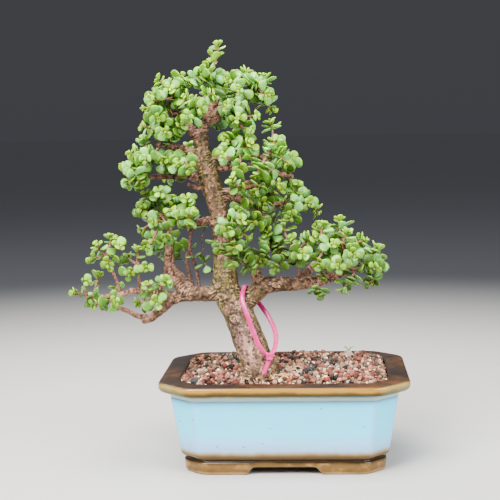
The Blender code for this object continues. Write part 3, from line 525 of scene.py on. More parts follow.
# ================================================================ wood
# The trunk leans left out of its spread roots, and limbs fork from it, thick to thin. Its bark
# is grey brown, ringed by old leaf scars, wrinkled in the crotches and pink where it is young.

wood_names = ["trunk"] + sorted(name for name in nodes if name.startswith("branch_"))
BARK_VOXEL = 0.85 * MM


def merged_copy(name, swell=0.0):
    """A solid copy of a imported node, its corners joined, swollen by a distance."""
    shape = bmesh.new()
    shape.from_mesh(nodes[name].data)
    bmesh.ops.remove_doubles(shape, verts=shape.verts, dist=0.00001)
    bmesh.ops.recalc_face_normals(shape, faces=shape.faces)
    if swell:
        shape.normal_update()
        for vert in shape.verts:
            vert.co += vert.normal * swell
    return shape


def solid_tree(name):
    """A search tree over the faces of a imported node."""
    shape = merged_copy(name)
    tree = BVHTree.FromBMesh(shape)
    shape.free()
    return tree


def object_from(shape, name):
    """A new object with the shape as its mesh. The shape itself is used up."""
    mesh = bpy.data.meshes.new(name)
    shape.to_mesh(mesh)
    shape.free()
    return placed(name, mesh)


def joined(parts, name):
    """All parts as one object, which takes the place of the first."""
    alone(parts[0])
    for part in parts[1:]:
        part.select_set(True)
    bpy.ops.object.join()
    parts[0].name = name
    return parts[0]


wood_parts, wood_points, wood_faces = [], [], []
for name in wood_names:
    shape = merged_copy(name, 0.1 * MM if name == "trunk" else 0.32 * MM)
    start = len(wood_points)
    wood_points += [v.co.copy() for v in shape.verts]
    wood_faces += [[v.index + start for v in f.verts] for f in shape.faces]
    wood_parts.append(object_from(shape, name + "_bark"))
wood_tree = BVHTree.FromPolygons(wood_points, wood_faces)
bark = joined(wood_parts, "trunk_and_limbs")
modify(bark, "REMESH", mode="VOXEL", voxel_size=BARK_VOXEL)


class Skin:
    """The points of a mesh as arrays, with what joins them, for shaping by hand."""

    def __init__(self, piece):
        self.mesh = piece.data
        count = len(self.mesh.vertices)
        self.points = np.zeros(count * 3)
        self.mesh.vertices.foreach_get("co", self.points)
        self.points = self.points.reshape(-1, 3)
        ends = np.zeros(len(self.mesh.edges) * 2, int)
        self.mesh.edges.foreach_get("vertices", ends)
        self.a, self.b = ends.reshape(-1, 2).T
        self.links = np.bincount(self.a, minlength=count) + np.bincount(self.b, minlength=count)

    def around(self, values):
        """Mean of each point's neighbours."""
        count = len(self.points)
        if values.ndim == 1:
            total = np.bincount(self.a, values[self.b], count) + np.bincount(self.b, values[self.a], count)
            return total / self.links
        return np.stack([self.around(column) for column in values.T], axis=1)

    def eased(self, values, times):
        for _ in range(times):
            values = (values + self.around(values)) / 2
        return values

    def normals(self):
        self.write()
        found = np.zeros(len(self.points) * 3)
        self.mesh.vertices.foreach_get("normal", found)
        return found.reshape(-1, 3)

    def write(self):
        self.mesh.vertices.foreach_set("co", self.points.ravel())
        self.mesh.update()

    def swell(self, relief):
        """Move each point out along its normal by its own number of millimetres."""
        self.points = self.points + self.normals() * (relief * MM)[:, None]
        self.write()

    def mark(self, name, values):
        layer = self.mesh.attributes.new(name, "FLOAT", "POINT")
        layer.data.foreach_set("value", values.astype(np.float32))


def lumps(points, size, seed=0.0):
    """Soft noise from about -1 to 1 at each point, with lumps of a size in metres."""
    shift = Vector((seed, seed * 1.7, seed * 2.3))
    return np.array([noise.noise(Vector(point) / size + shift) for point in points])


# The girth is half the distance through the wood, in millimetres. Rays start just under the skin.
MOST_GIRTH, UNDER_SKIN = 16.0, 0.6
skin = Skin(bark)
normals = skin.normals()
girth = np.full(len(skin.points), MOST_GIRTH)
for i, (point, normal) in enumerate(zip(skin.points, normals)):
    normal = Vector(normal)
    far = wood_tree.ray_cast(Vector(point) - normal * UNDER_SKIN * MM, -normal, 2 * MOST_GIRTH * MM)[3]
    girth[i] = min(MOST_GIRTH, ((far or 0.0) / MM + UNDER_SKIN) / 2)
girth = skin.eased(girth, 12)

# The flat sides left by the rough shape are worn round, more on thick wood than on thin.
ease = np.clip((girth - 0.6) / 7.0, 0.06, 1.0)[:, None]
for turn in range(44):
    skin.points += (skin.around(skin.points) - skin.points) * 0.55 * ease
    skin.points -= (skin.around(skin.points) - skin.points) * 0.53 * ease

# How far up the wood each point lies, measured along the surface from the roots.
reach = [[] for _ in skin.points]
for face in bark.data.polygons:
    corners = list(face.vertices)
    pairs = zip(corners, corners[1:] + corners[:1])
    for a, b in [*pairs, (corners[0], corners[2]), (corners[1], corners[-1])]:
        reach[a].append(b)
        reach[b].append(a)
UNREACHED, ROOTS_END = 1e9, 80 * MM
up_wood = np.full(len(skin.points), UNREACHED)
front = []
for i in np.flatnonzero(skin.points[:, 2] < ROOTS_END):
    up_wood[i] = skin.points[i][2] - ROOTS_END
    heapq.heappush(front, (up_wood[i], int(i)))
places = skin.points.tolist()
while front:
    far, i = heapq.heappop(front)
    if far > up_wood[i]:
        continue
    for j in reach[i]:
        new = far + math.dist(places[i], places[j])
        if new < up_wood[j] - 1e-9:
            up_wood[j] = new
            heapq.heappush(front, (new, j))
up_wood = skin.eased(np.where(up_wood == UNREACHED, 0.0, up_wood), 10)

# Where one limb meets another, two of the rough solids are close together. One point in three
# is tried, and stands for its neighbours.
CROTCH_REACH = 7.0 * MM
own_trees = [solid_tree(name) for name in wood_names]
crotch = np.zeros(len(skin.points))
for i, point in enumerate(places):
    if i % 3 == 0:
        close = sum(tree.find_nearest(point, CROTCH_REACH)[0] is not None for tree in own_trees)
        crotch[i] = 3.0 if close > 1 else 0.0
crotch = np.clip(skin.eased(crotch, 10), 0, 1)

# The bark's relief, in millimetres: broad swellings, furrows that run up the wood, close rings
# and wider collars round it, fine grain and chunks.
thick = np.clip((girth - 3.0) / 8.0, 0, 1)
points = skin.points.copy()
normals = skin.normals()
swell = lumps(points, 15 * MM, 3.0) * (0.12 + 0.50 * thick)
furrow = -np.abs(lumps(points * np.array([1.0, 1.0, 0.30]), 4.2 * MM, 7.0)) * 0.42 * thick
ring_phase = up_wood / (2.5 * MM) + lumps(points, 9 * MM, 11.0) * 1.1
rings = np.abs(((ring_phase % 1.0) - 0.5) * 2) - 0.5
rings = rings * (0.05 + 0.50 * crotch) * np.clip(lumps(points, 12 * MM, 5.0) + 0.9, 0.2, 1.4)
collar_phase = up_wood / (6.2 * MM) + lumps(points, 20 * MM, 19.0) * 0.8
collars = np.exp(-(((collar_phase % 1.0) - 0.5) / 0.16) ** 2) * 0.42
collars = collars * (1 - thick) * np.clip(girth / 2.6, 0.3, 1)
grain = lumps(points, 1.9 * MM, 23.0) * 0.27
chunk = lumps(points, 4.5 * MM, 29.0) * (0.24 + 0.20 * thick)

# Old leaf scars: round warts with a raised rim, small on thin wood. A few old knots stand by
# the crotches, each a place beside the pot's middle and a half width, in millimetres.
KNOTS = [(-42, -44, 131, 3.2), (-52.5, -38, 149, 3.2), (-56, -35.5, 159, 2.6), (-5.6, -36.6, 158.8, 2.4),
         (-26, -44, 142, 2.2), (-47, -36, 172, 2.4), (-58, -30, 196, 2.3)]
dice = np.random.default_rng(41)
scar = np.zeros(len(points))
scar_middle = np.zeros(len(points))
warts = [(points[i], dice.uniform(0.8, 1.3) + 0.5 * thick[i] * dice.uniform(0.3, 1.0), 0.32)
         for i in dice.choice(len(points), 300, replace=False)]
warts += [(np.array(beside(x, y, z)), size, 0.75) for x, y, z, size in KNOTS]
ragged = lumps(points, 2.6 * MM, 37.0) * 0.62
for centre, size, proud in warts:
    off = np.sqrt((((points - centre) * np.array([0.85, 1.0, 1.3])) ** 2).sum(1)) / (size * MM)
    near = np.flatnonzero(off < 2.6)
    off[near] += ragged[near]
    rim = np.exp(-((off[near] - 0.95) / 0.36) ** 2) * proud * min(size, 1.6)
    scar[near] = np.maximum(scar[near], rim)
    scar_middle[near] = np.maximum(scar_middle[near], np.exp(-(off[near] / 0.7) ** 2))

# One deep crease crosses the front of the trunk where the lowest limbs leave it; the finish paints it dark as
# painted shade.
crease_start = np.array(beside(-60, -36, 151.5))
crease_run = np.array([17.5, -1.0, 5.0]) * MM
share = np.clip((points - crease_start) @ crease_run / (crease_run @ crease_run), 0, 1)
off = np.sqrt(((points - crease_start - share[:, None] * crease_run) ** 2).sum(1)) / MM
crease = -np.exp(-(off / 1.0) ** 2) * 0.9
relief = swell + furrow + rings + collars + grain + chunk + scar + crease
relief *= np.clip(girth / 2.4, 0.45, 1.0)
skin.swell(relief)
detail = relief - skin.eased(relief, 14)


def patch_at(x, y, z, wide):
    """Share from 0 to 1 of a soft patch round a place beside the pot's middle, in millimetres."""
    off = ((points - np.array(beside(x, y, z))) ** 2).sum(1) / (wide * MM) ** 2
    return np.exp(-off)


sideways = np.clip(np.abs(normals[:, 0]) * 1.7 - 0.75, 0, 1)
crown = np.clip(points[:, 2] / MM - 225, 0, 40) / 40
moss = (sideways * 0.9 + crotch * 0.6 + patch_at(-56, -34, 165, 20) + crown * 0.55
        + patch_at(-20, -36, 158, 16) * 0.8)
skin.mark("girth", girth / MOST_GIRTH)
# How far each point stands out of the bark round it. The finish paints shade in the low places and light on
# the high ones.
skin.mark("raised", np.clip(0.5 + detail * 1.1, 0, 1))
skin.mark("up_wood", up_wood / MM)
skin.mark("scar", scar_middle)
skin.mark("crease", -crease)
skin.mark("moss", np.clip(moss * thick + lumps(points, 7 * MM, 31.0) * 0.5, 0, 1))
skin.mark("mauve", patch_at(-35, -47, 119, 12))
skin.mark("blush", patch_at(-30, -49, 103, 12) + patch_at(-34, -42, 142, 7) * 0.6)
alone(bark)
bpy.ops.object.shade_smooth()

bark_finish = Finish("jade_bark", Specular_IOR_Level=0.3)
place = bark_finish.place
young = 1.0 - bark_finish.mark("girth").step(0.14, 0.44)
raised, mossy = bark_finish.mark("raised"), bark_finish.mark("moss")
patches = place.cloud(0.014, 3.0)
mottle = place.cloud(0.0032, 4.0, 0.65)
flakes = place.cloud(0.0055, 4.0, 0.7)
broad = place.cloud(0.011, 3.0, 0.6)
crumbs = place.cloud(0.0016, 3.0, 0.6)
old_tint = patches.step(0.40, 0.60).blend(paint(88, 62, 38), paint(124, 90, 66)).under(
    (mossy.step(0.15, 0.75) * 0.85, (92, 82, 30)),
    (bark_finish.mark("mauve") * flakes.step(0.30, 0.55), (98, 74, 78)),
    (bark_finish.mark("blush") * flakes.step(0.40, 0.56), (190, 142, 126)))
young_tint = patches.step(0.4, 0.62).blend(paint(126, 84, 66), paint(172, 122, 100)).under(
    (place.cloud(0.0075, 2.0).step(0.52, 0.70) * 0.5, (82, 66, 30)))
pale = mottle.step(0.53, 0.64) * broad.step(0.36, 0.56) * (0.85 - mossy * 0.4) * (1.0 - young * 0.6)
tint = young.blend(old_tint, young_tint).under(
    # Painted shade darkens the bark's hollows and painted highlight lightens its ridges, on top of the darker
    # furrows and paler ridges that weathered bark has of its own.
    ((1.0 - raised.step(0.26, 0.52)) * 0.92, (26, 18, 9)),
    (raised.step(0.56, 0.88) * (0.55 - young * 0.25), (184, 146, 112)),
    (bark_finish.mark("scar").step(0.40, 0.85) * 0.5, (176, 158, 104)),
    ((1.0 - broad.step(0.34, 0.48)) * 0.55, (52, 40, 26)),
    (pale, (202, 160, 132)),
    ((1.0 - mottle.step(0.37, 0.46)) * 0.85, (34, 25, 13)),
    ((1.0 - crumbs.step(0.36, 0.46)) * 0.5, (44, 34, 20)),
    # The crease is painted dark: painted shade in the fold.
    (bark_finish.mark("crease").step(0.3, 0.9) * 0.85, (30, 22, 12)))
bark_finish.feed("Base Color", tint)
bark_finish.feed("Roughness", place.cloud(0.004) * 0.2 + 0.62)
fine_rings = (bark_finish.mark("up_wood") * 4.2 + place.cloud(0.006) * 6.0).maths("SINE") * 0.5 + 0.5
bark_finish.bump(fine_rings * 0.12 + place.cloud(0.0014, 4.0, 0.6) * 0.7 + place.cloud(0.004) * 0.4, 0.0007)
dress(bark, bark_finish)
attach(bark, "root")
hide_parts(*wood_names)
bark_tree = BVHTree.FromPolygons([Vector(p) for p in skin.points],
                                 [tuple(f.vertices) for f in bark.data.polygons])

# ================================================================ soil
# Bonsai grit fills the pot and is mounded round the roots: cream pumice, pink and brick lava,
# tan clay and black grains, 2 to 7 mm across, lying loose over a darker bed.

# The bed shows only in the gaps between the grains. It is dark soil, painted nearly black as painted shade
# for those gaps.
bed = Finish("soil_bed", Roughness=0.95)
fine = bed.place.cloud(0.0022, 4.0)
bed.feed("Base Color", fine.step(0.3, 0.7).blend(paint(16, 10, 8), paint(46, 28, 20)))
bed.bump(fine, 0.002)
dress(nodes["soil"], bed)

GRAIN_KINDS = {  # share of the mix and paint
    "pumice": (0.31, (240, 214, 180)), "pink lava": (0.18, (178, 120, 88)),
    "brick lava": (0.15, (138, 58, 34)), "coal": (0.09, (20, 17, 17)),
    "clay": (0.17, (142, 102, 60)), "ash": (0.10, (84, 66, 48)),
}
SEAMS = [  # where one kind gathers: its place beside the pot's middle, how wide, and how strong
    ("coal", 34, -2, 15, 2.2), ("coal", 22, -30, 10, 1.2), ("brick lava", 72, -30, 22, 1.0),
    ("brick lava", -52, -44, 24, 1.0), ("pumice", 52, -20, 16, 1.3), ("clay", -6, -14, 22, 1.4),
    ("pumice", -4, -20, 18, 1.2), ("clay", -68, 20, 26, 0.9), ("pumice", -72, -30, 20, 0.9),
    ("brick lava", 60, 14, 14, 1.2), ("ash", -34, 24, 26, 1.4), ("brick lava", 48, -52, 16, 1.4),
    ("clay", -20, -54, 18, 1.2), ("coal", -46, 10, 12, 2.2), ("ash", -42, -22, 7, 2.0),
]
GRAIN_SIZES = (0.8, 1.0, 1.2, 1.4, 1.7, 2.1, 2.6)  # half widths in millimetres
GRAIN_COUNT, GRAIN_TRIES = 4600, 60000
COARSE_TRIES = 4500  # the first tries lay larger grains, and among them a few lumps
LUMP_EVERY, LUMP_SIZES = 60, (3.0, 3.7)
CELL = 0.0055  # side in metres of the squares in which near grains are looked up
ROOT_COVER = 89.5 * MM  # the grit lies on roots up to this height
ABOVE_SOIL, LOWEST_SOIL = 0.12, 0.070
STONE_SPOT = (57, 23)
INSIDE_X, INSIDE_Y, INSIDE_CUT = 0.0893, 0.0643, 0.0120  # half the well's length and depth; its corner
UP = Vector((0, 0, 1))

grain_shapes = []
for kind in range(7):
    pebble = added(bpy.ops.mesh.primitive_ico_sphere_add, subdivisions=1, radius=1.0)
    edit(pebble)
    pick("edges", lambda e: (e.index * 7 + kind * 3) % 5 == 0)
    bpy.ops.mesh.bevel(offset=0.22, segments=1, affect="EDGES")
    bpy.ops.mesh.select_all(action="SELECT")
    bpy.ops.transform.vertex_random(offset=0.16, seed=31 + kind)
    edit()
    corners = np.array([v.co for v in pebble.data.vertices])
    grain_shapes.append((corners, [tuple(f.vertices) for f in pebble.data.polygons]))
    bpy.data.objects.remove(pebble)

soil_tree, stone_tree = solid_tree("soil"), solid_tree("pointed_stone")


def soil_top(x, y, beyond=0.0):
    """Height of the soil bed, or another height where there is no soil."""
    found = soil_tree.ray_cast(Vector((x, y, ABOVE_SOIL)), -UP)[0]
    return beyond if found is None else found.z


def root_top(x, y):
    """Height of a spread root that the grit may lie on, or 0 where there is none."""
    start = Vector((x, y, ROOT_COVER))
    above = bark_tree.ray_cast(start, UP, 0.05)
    below = bark_tree.ray_cast(start, -UP, 0.03)
    inside = above[0] is not None and above[1].z > 0
    return below[0].z if below[0] is not None and below[1].z > 0.2 and not inside else 0.0


def away(x, y, spot_x, spot_y):
    """Distance to a spot that is given in millimetres beside the pot's middle."""
    return math.hypot(x - pot_x - spot_x * MM, y - pot_y - spot_y * MM)


def faced_out(piece):
    """Turn every face of a piece outward."""
    edit(piece)
    bpy.ops.mesh.select_all(action="SELECT")
    bpy.ops.mesh.normals_make_consistent(inside=False)
    edit()


dice = random.Random(57)
laid = {}
grains = {"bottom_grains": [], "top_grains": []}
soil_low, soil_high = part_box("soil")
for attempt in range(GRAIN_TRIES):
    if sum(map(len, grains.values())) >= GRAIN_COUNT:
        break
    x = dice.uniform(soil_low.x - 0.001, soil_high.x + 0.001)
    y = dice.uniform(soil_low.y - 0.001, soil_high.y + 0.001)
    coarse = attempt < COARSE_TRIES
    size = dice.choice(GRAIN_SIZES[2:] if coarse else GRAIN_SIZES[:6]) * dice.uniform(0.88, 1.12) * MM
    if coarse and attempt % LUMP_EVERY == 0:
        size = dice.uniform(*LUMP_SIZES) * MM
    # A grain lies on the bed, or on one layer of others.
    cell = (int(x / CELL), int(y / CELL))
    near = [g for i in (-1, 0, 1) for j in (-1, 0, 1) for g in laid.get((cell[0] + i, cell[1] + j), ())]
    layer = 0
    for gx, gy, gsize, glayer in near:
        if math.hypot(x - gx, y - gy) < (size + gsize) * 0.74:
            layer = max(layer, glayer + 1)
    if layer > 1:
        continue
    bed_top = soil_top(x, y)
    if bed_top < LOWEST_SOIL:
        continue
    # The grit is heaped a little toward the back, but not round the stone.
    heap = 2.6 * min(max((y - pot_y) / MM - 8, 0) / 30, 1) * (0.6 + 0.4 * math.sin(x / MM * 0.11 + 1.0))
    heap *= min(max(away(x, y, *STONE_SPOT) / MM - 8, 0) / 16, 1)
    z = (max(bed_top, root_top(x, y)) + size * 0.20 + layer * size * 0.85
         + (dice.uniform(-0.2, 0.4) + heap * dice.uniform(0.4, 1.0)) * MM)
    # It keeps clear of the wood, the stone and the pot's walls.
    place = Vector((x, y, z))
    wood_hit = bark_tree.find_nearest(place, size * 0.9)[0]
    if (wood_hit is not None and z > ROOT_COVER) or stone_tree.find_nearest(place, size * 0.8)[0] is not None:
        continue
    above = bark_tree.ray_cast(place, UP, 0.012)
    if above[0] is not None and above[1].z > 0:
        continue
    inside_x, inside_y = INSIDE_X - abs(x - pot_x), INSIDE_Y - abs(y - pot_y)
    corner = (inside_x + inside_y) / math.sqrt(2) - INSIDE_CUT
    if min(inside_x, inside_y, corner) < size * 0.75:
        continue
    laid.setdefault(cell, []).append((x, y, size, layer))
    weights = {kind: share for kind, (share, _) in GRAIN_KINDS.items()}
    for kind, seam_x, seam_y, wide, strong in SEAMS:
        off = away(x, y, seam_x, seam_y) / (wide * MM)
        weights[kind] += 0.45 * strong * math.exp(-off * off * 1.5)
    kind = dice.choices(list(weights), weights.values())[0]
    if size > 2.2 * MM and kind in ("pumice", "clay"):
        kind = "brick lava" if dice.random() < 0.4 else "pink lava"
    chart = GRAIN_KINDS[kind][1]
    corners, faces = dice.choice(grain_shapes)
    angle = dice.uniform(0, 6.28)
    turn = Matrix.Rotation(angle, 3, Vector([dice.gauss(0, 1) for _ in range(3)]).normalized())
    squeeze = np.array([dice.uniform(0.8, 1.25), dice.uniform(0.8, 1.15), dice.uniform(0.65, 0.95)])
    points = (corners * squeeze) @ np.array(turn).T * size + np.array(place)
    # Some grains are dark and each has a brightness of its own. The lower layer is painted darker as painted
    # shade, and the upper a little lighter as painted light.
    brightness_and_painted_shade = dice.uniform(0.10, 0.32) if dice.random() < 0.30 else dice.uniform(0.5, 1.18)
    brightness_and_painted_shade *= 0.72 if layer == 0 else 1.08
    dusty = dice.uniform(0.0, 0.16)
    tone = [(c * (1 - dusty) + 0.40 * dusty) * brightness_and_painted_shade * dice.uniform(0.95, 1.05) for c in paint(*chart)[:3]]
    grains["top_grains" if layer else "bottom_grains"].append((points, faces, (*tone, 1.0)))

grit = Finish("soil_grit", Specular_IOR_Level=0.3)
tint = grit.mark("grain_tint", "Color")
pores = grit.place.cloud(0.0011, 3.0, 0.65)
dark = (1.0 - pores.step(0.32, 0.50)) * 0.7
light = pores.step(0.56, 0.72) * 0.35
grit.feed("Base Color", light.blend(dark.blend(tint, paint(36, 24, 18)), paint(200, 164, 140)))
grit.feed("Roughness", pores * 0.15 + 0.78)
grit.bump(pores, 0.0006)
for name, pebbles in grains.items():
    starts = np.cumsum([0] + [len(points) for points, _, _ in pebbles])
    faces = [[i + start for i in face] for start, (_, shape, _) in zip(starts, pebbles) for face in shape]
    tints = [tint for points, _, tint in pebbles for _ in points]
    mesh = bpy.data.meshes.new(name)
    mesh.from_pydata(np.concatenate([points for points, _, _ in pebbles]).tolist(), [], faces)
    layer = mesh.attributes.new("grain_tint", "FLOAT_COLOR", "POINT")
    layer.data.foreach_set("color", np.array(tints, np.float32).ravel())
    mesh.materials.append(grit.material)
    grit_layer = placed(name, mesh)
    faced_out(grit_layer)
    bpy.ops.object.shade_smooth_by_angle(angle=math.radians(30))
    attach(grit_layer, "root")

# ================================================================ leafy shoots
# Short stems, red brown turning green, carry plump round leaves in crossed pairs. Each stem
# ends in a rosette: two full pairs, then a half-grown pair and a bud.

LEAF_RINGS = [  # along the leaf, half width and half thickness, all as shares
    (0.07, 0.17, 0.60), (0.24, 0.40, 0.90), (0.47, 0.80, 1.0),
    (0.70, 1.0, 0.92), (0.88, 0.82, 0.74), (0.975, 0.45, 0.45),
]
ASIDE = 10  # levels already moved wait this far up, so that they aren't picked again
leaf_model = added(bpy.ops.mesh.primitive_uv_sphere_add, segments=8, ring_count=7, radius=1.0)
edit(leaf_model)
levels = sorted({round(v.co.z, 4) for v in bmesh.from_edit_mesh(leaf_model.data).verts})
for level, (along, wide, thick_share) in zip(levels[1:-1], LEAF_RINGS):
    radius = math.sqrt(1 - level * level)
    pick("verts", lambda v: round(v.co.z, 4) == level)
    value = (wide / radius, thick_share / radius, 1.0)
    bpy.ops.transform.resize(value=value, center_override=(0, 0, level))
    bpy.ops.transform.translate(value=(0, 0, ASIDE + along - level))
for level, along in ((levels[0], 0.0), (levels[-1], 1.0)):
    pick("verts", lambda v: round(v.co.z, 4) == level)
    bpy.ops.transform.translate(value=(0, 0, ASIDE + along - level))
bpy.ops.mesh.select_all(action="SELECT")
bpy.ops.transform.translate(value=(0, 0, -ASIDE))
# The shoulders of the round section are pushed out, so that the leaf has flat broad faces.
pick("verts", lambda v: abs(v.co.x) > 0.02 and abs(v.co.y) > 0.02)
bpy.ops.transform.resize(value=(1.08, 1.14, 1.0), center_override=(0, 0, 0))
edit()
leaf_corners = np.array([v.co for v in leaf_model.data.vertices])
leaf_faces = [tuple(f.vertices) for f in leaf_model.data.polygons]
leaf_uv = np.stack([leaf_corners[:, 0] * 0.5 + 0.5, leaf_corners[:, 2]], axis=1)
bpy.data.objects.remove(leaf_model)

LEAF_SPOTS = (  # how far along a leaf and how far to its side, as shares
    (0.5, 0), (0.55, 0.38), (0.55, -0.38), (0.8, 0), (0.8, 0.36), (0.8, -0.36), (1.0, 0),
)
MIDDLE_SPOT = 3


class Leaf:
    """One leaf: where it leaves the stem, which way it runs and faces, and its size."""

    def __init__(self, base, along, normal, length, width, thick, age):
        self.base, self.along = base, along.normalized()
        self.across = self.along.cross(normal).normalized()
        self.normal = self.across.cross(self.along).normalized()
        self.length, self.width, self.thick, self.age = length, width, thick, age

    def samples(self):
        """Seven spots over the leaf, for keeping others clear of it."""
        return np.array([
            self.base + self.along * self.length * far + self.across * self.width * side
            for far, side in LEAF_SPOTS
        ])

    def shaped(self, dice):
        """The corners of the leaf, bent and cupped a little."""
        x = leaf_corners[:, 0] * self.width / 2
        y = leaf_corners[:, 1] * self.thick / 2
        z = leaf_corners[:, 2] * self.length
        bend = dice.uniform(-0.22, 0.10)
        cup = dice.uniform(-0.02, 0.22)
        twist = dice.uniform(-0.25, 0.25)
        y = y + bend * z * z / self.length + cup * x * x / self.width * 2 + twist * x * z / self.length
        return (np.array(self.base) + np.outer(x, self.across) + np.outer(y, self.normal)
                + np.outer(z, self.along))


class Room:
    """The leaves already placed, so that new ones keep clear of them and of the wood."""

    def __init__(self):
        self.middles = np.zeros((0, 3))
        self.clouds = np.zeros((0, len(LEAF_SPOTS), 3))

    def clear(self, leaf, gap):
        points = leaf.samples()
        middle = points[MIDDLE_SPOT]
        near = ((self.middles - middle) ** 2).sum(1) < 0.015 ** 2
        if near.any():
            others = self.clouds[near].reshape(-1, 3)
            if (((points[:, None] - others[None]) ** 2).sum(2)).min() < gap * gap:
                return False
        return all(bark_tree.find_nearest(point, 1.3 * MM)[0] is None for point in points)

    def add(self, leaf):
        points = leaf.samples()
        self.middles = np.vstack([self.middles, points[MIDDLE_SPOT]])
        self.clouds = np.concatenate([self.clouds, points[None]])


def leaf_fans(shape):
    """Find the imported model's plain leaves: two crowns over four shared rim corners."""
    around = {v: {e.other_vert(v) for e in v.link_edges} for v in shape.verts}
    fans = []
    crowns = [v for v in shape.verts if len(around[v]) == 6]
    for top in crowns:
        for bottom in {w for v in around[top] for w in around[v]}:
            if bottom.index <= top.index or bottom in around[top] or len(around[bottom]) != 6:
                continue
            rim = around[top] & around[bottom]
            if len(rim) != 4:
                continue
            ends = [v for v in rim if len(around[v] & rim) == 1]
            tips = [v for v in rim if len(around[v] & rim) == 2]
            if len(ends) != 2 or len(tips) != 2:
                continue
            fans.append((top, bottom, ends, tips, around[top] - rim, around[bottom] - rim))
    return fans


def mean(verts):
    return sum((v.co for v in verts), Vector()) / len(verts)


LEAF_LENGTH, LEAF_WIDTH, LEAF_THICK = 10.8 * MM, 9.2 * MM, 1.9 * MM
FACING = (0.10, 0.52)  # how far a leaf turns, as a share
LEADER, LOW_LEFT = "shoots_leader", ("far_left", "lower_left")
LEADER_YOUNG, LEADER_BARE = 336 * MM, 343 * MM  # heights above which it has small leaves, or only pairs
TIPS_FROM, TIPS_RUN = 0.126, 0.012  # how far out the leaves begin to get smaller, and over what run


def turned(along, normal, outward, dice):
    """A leaf turned part of the way until one of its faces looks out of the spray."""
    light = outward.normalized() * 0.7 + Vector([dice.gauss(0, 0.3) for _ in range(3)])
    light = (light + Vector((0, -0.4, 0.12))).normalized()
    target = light if normal.dot(light) > 0 else -light
    share = dice.uniform(*FACING)
    normal = (normal.normalized() * (1 - share) + target * share).normalized()
    return along - normal * along.dot(normal), normal


room = Room()
sprays = {}
for name in sorted(name for name in nodes if name.startswith("shoots_")):
    shape = merged_copy(name)
    shape.verts.index_update()
    fans = leaf_fans(shape)
    leafy = {v for top, bottom, ends, tips, _, _ in fans for v in (top, bottom, *ends, *tips)}
    leaves, shoots = [], []
    dice = random.Random(name)
    middle = mean(list(shape.verts))
    if name == LEADER:
        middle += Vector((0, 0.12, 0))
    shrunk = 0.9 if any(part in name for part in LOW_LEFT) else 1.0
    fullness = {}
    for top, bottom, ends, tips, high, low in fans:
        base, tip = (mean(high) + mean(low)) / 2, mean(tips)
        plane = mean(ends + tips)
        if abs((top.co - plane).length) < abs((bottom.co - plane).length):
            top, bottom, high, low = bottom, top, low, high
        up = (mean(high) - mean(low)).normalized()
        along = tip - base
        out = (along - up * along.dot(up)).normalized()
        width = (ends[0].co - ends[1].co).length
        last = all((v.co - mean(high)).dot(up) < 0.3 * MM
                   for h in high for v in (e.other_vert(h) for e in h.link_edges) if v not in leafy)
        pair = tuple(round(c / (4 * MM)) for c in mean(high) + mean(low))
        full = fullness.setdefault(pair, dice.uniform(0.84, 1.12))
        if name == LEADER and base.z > LEADER_YOUNG:
            full = 0.85
        full *= 1 - 0.45 * min(max((abs(tip.x) - TIPS_FROM) / TIPS_RUN, 0), 1)
        full *= shrunk
        length = along.length / 0.96 * full
        way, face = turned(along, top.co - bottom.co, base - middle, dice)
        leaf = Leaf(base - along.normalized() * 0.4 * MM, way, face, length * dice.uniform(0.94, 1.02),
                    width * 0.96 * full, LEAF_THICK, 0.45 if last else 0.8)
        leaves.append(leaf)
        room.add(leaf)
        shoots.append({"centre": base - out * 0.9 * MM, "up": up, "out": out, "last": last,
                       "end": mean(high) - out * 0.8 * MM})
    bmesh.ops.delete(shape, geom=list(leafy), context="VERTS")
    bmesh.ops.holes_fill(shape, edges=[e for e in shape.edges if e.is_boundary], sides=8)
    bmesh.ops.recalc_face_normals(shape, faces=shape.faces)
    sprays[name] = {"stem": shape, "leaves": leaves, "shoots": shoots, "middle": middle}

dice = random.Random(83)


def try_leaf(spray, base, out, up, tilt, size, age, gap, sway=0.0):
    """Add a leaf that leaves the stem along out and rises toward up, if there is room."""
    across = up.cross(out)
    along = out * math.cos(tilt) + up * math.sin(tilt) + across * sway
    normal = up * math.cos(tilt) - out * math.sin(tilt)
    along, normal = turned(along, normal, base - spray["middle"], dice)
    leaf = Leaf(base, along, normal, LEAF_LENGTH * size, LEAF_WIDTH * size * dice.uniform(0.92, 1.08),
                LEAF_THICK * (0.55 + 0.45 * size), age)
    if gap and not room.clear(leaf, gap):
        return False
    room.add(leaf)
    spray["leaves"].append(leaf)
    return True


for name, spray in sprays.items():
    lasts = [s for s in spray["shoots"] if s["last"]]
    ends = []
    for shoot in lasts:
        twin = next((e for e in ends if (e["end"] - shoot["end"]).length < 1.6 * MM), None)
        if twin:
            twin["end"] = (twin["end"] + shoot["end"]) / 2
            twin["both"] = True
        else:
            ends.append(dict(shoot, both=False))
    spray["ends"] = ends
    for end in ends:
        up, out = end["up"], end["out"]
        side = up.cross(out).normalized()
        tip = end["end"]
        if not end["both"]:
            try_leaf(spray, end["centre"] - out * 0.8 * MM, -out, up, 0.8, 0.7, 0.5, 2.0 * MM)
        half_grown, open_by = dice.uniform(0.46, 0.68), dice.uniform(0.35, 0.75)
        if name == LEADER:
            half_grown *= 0.7
        for sign in (1, -1):
            try_leaf(spray, tip + up * 0.6 * MM, side * sign, up, open_by + dice.uniform(-0.12, 0.12),
                     half_grown * dice.uniform(0.93, 1.07), 0.2, 0)
        bud, open_by = dice.uniform(0.18, 0.34), dice.uniform(0.75, 1.2)
        for sign in (1, -1):
            try_leaf(spray, tip + up * 1.6 * MM, out * sign, up, open_by,
                     bud * dice.uniform(0.9, 1.1), 0.0, 0)

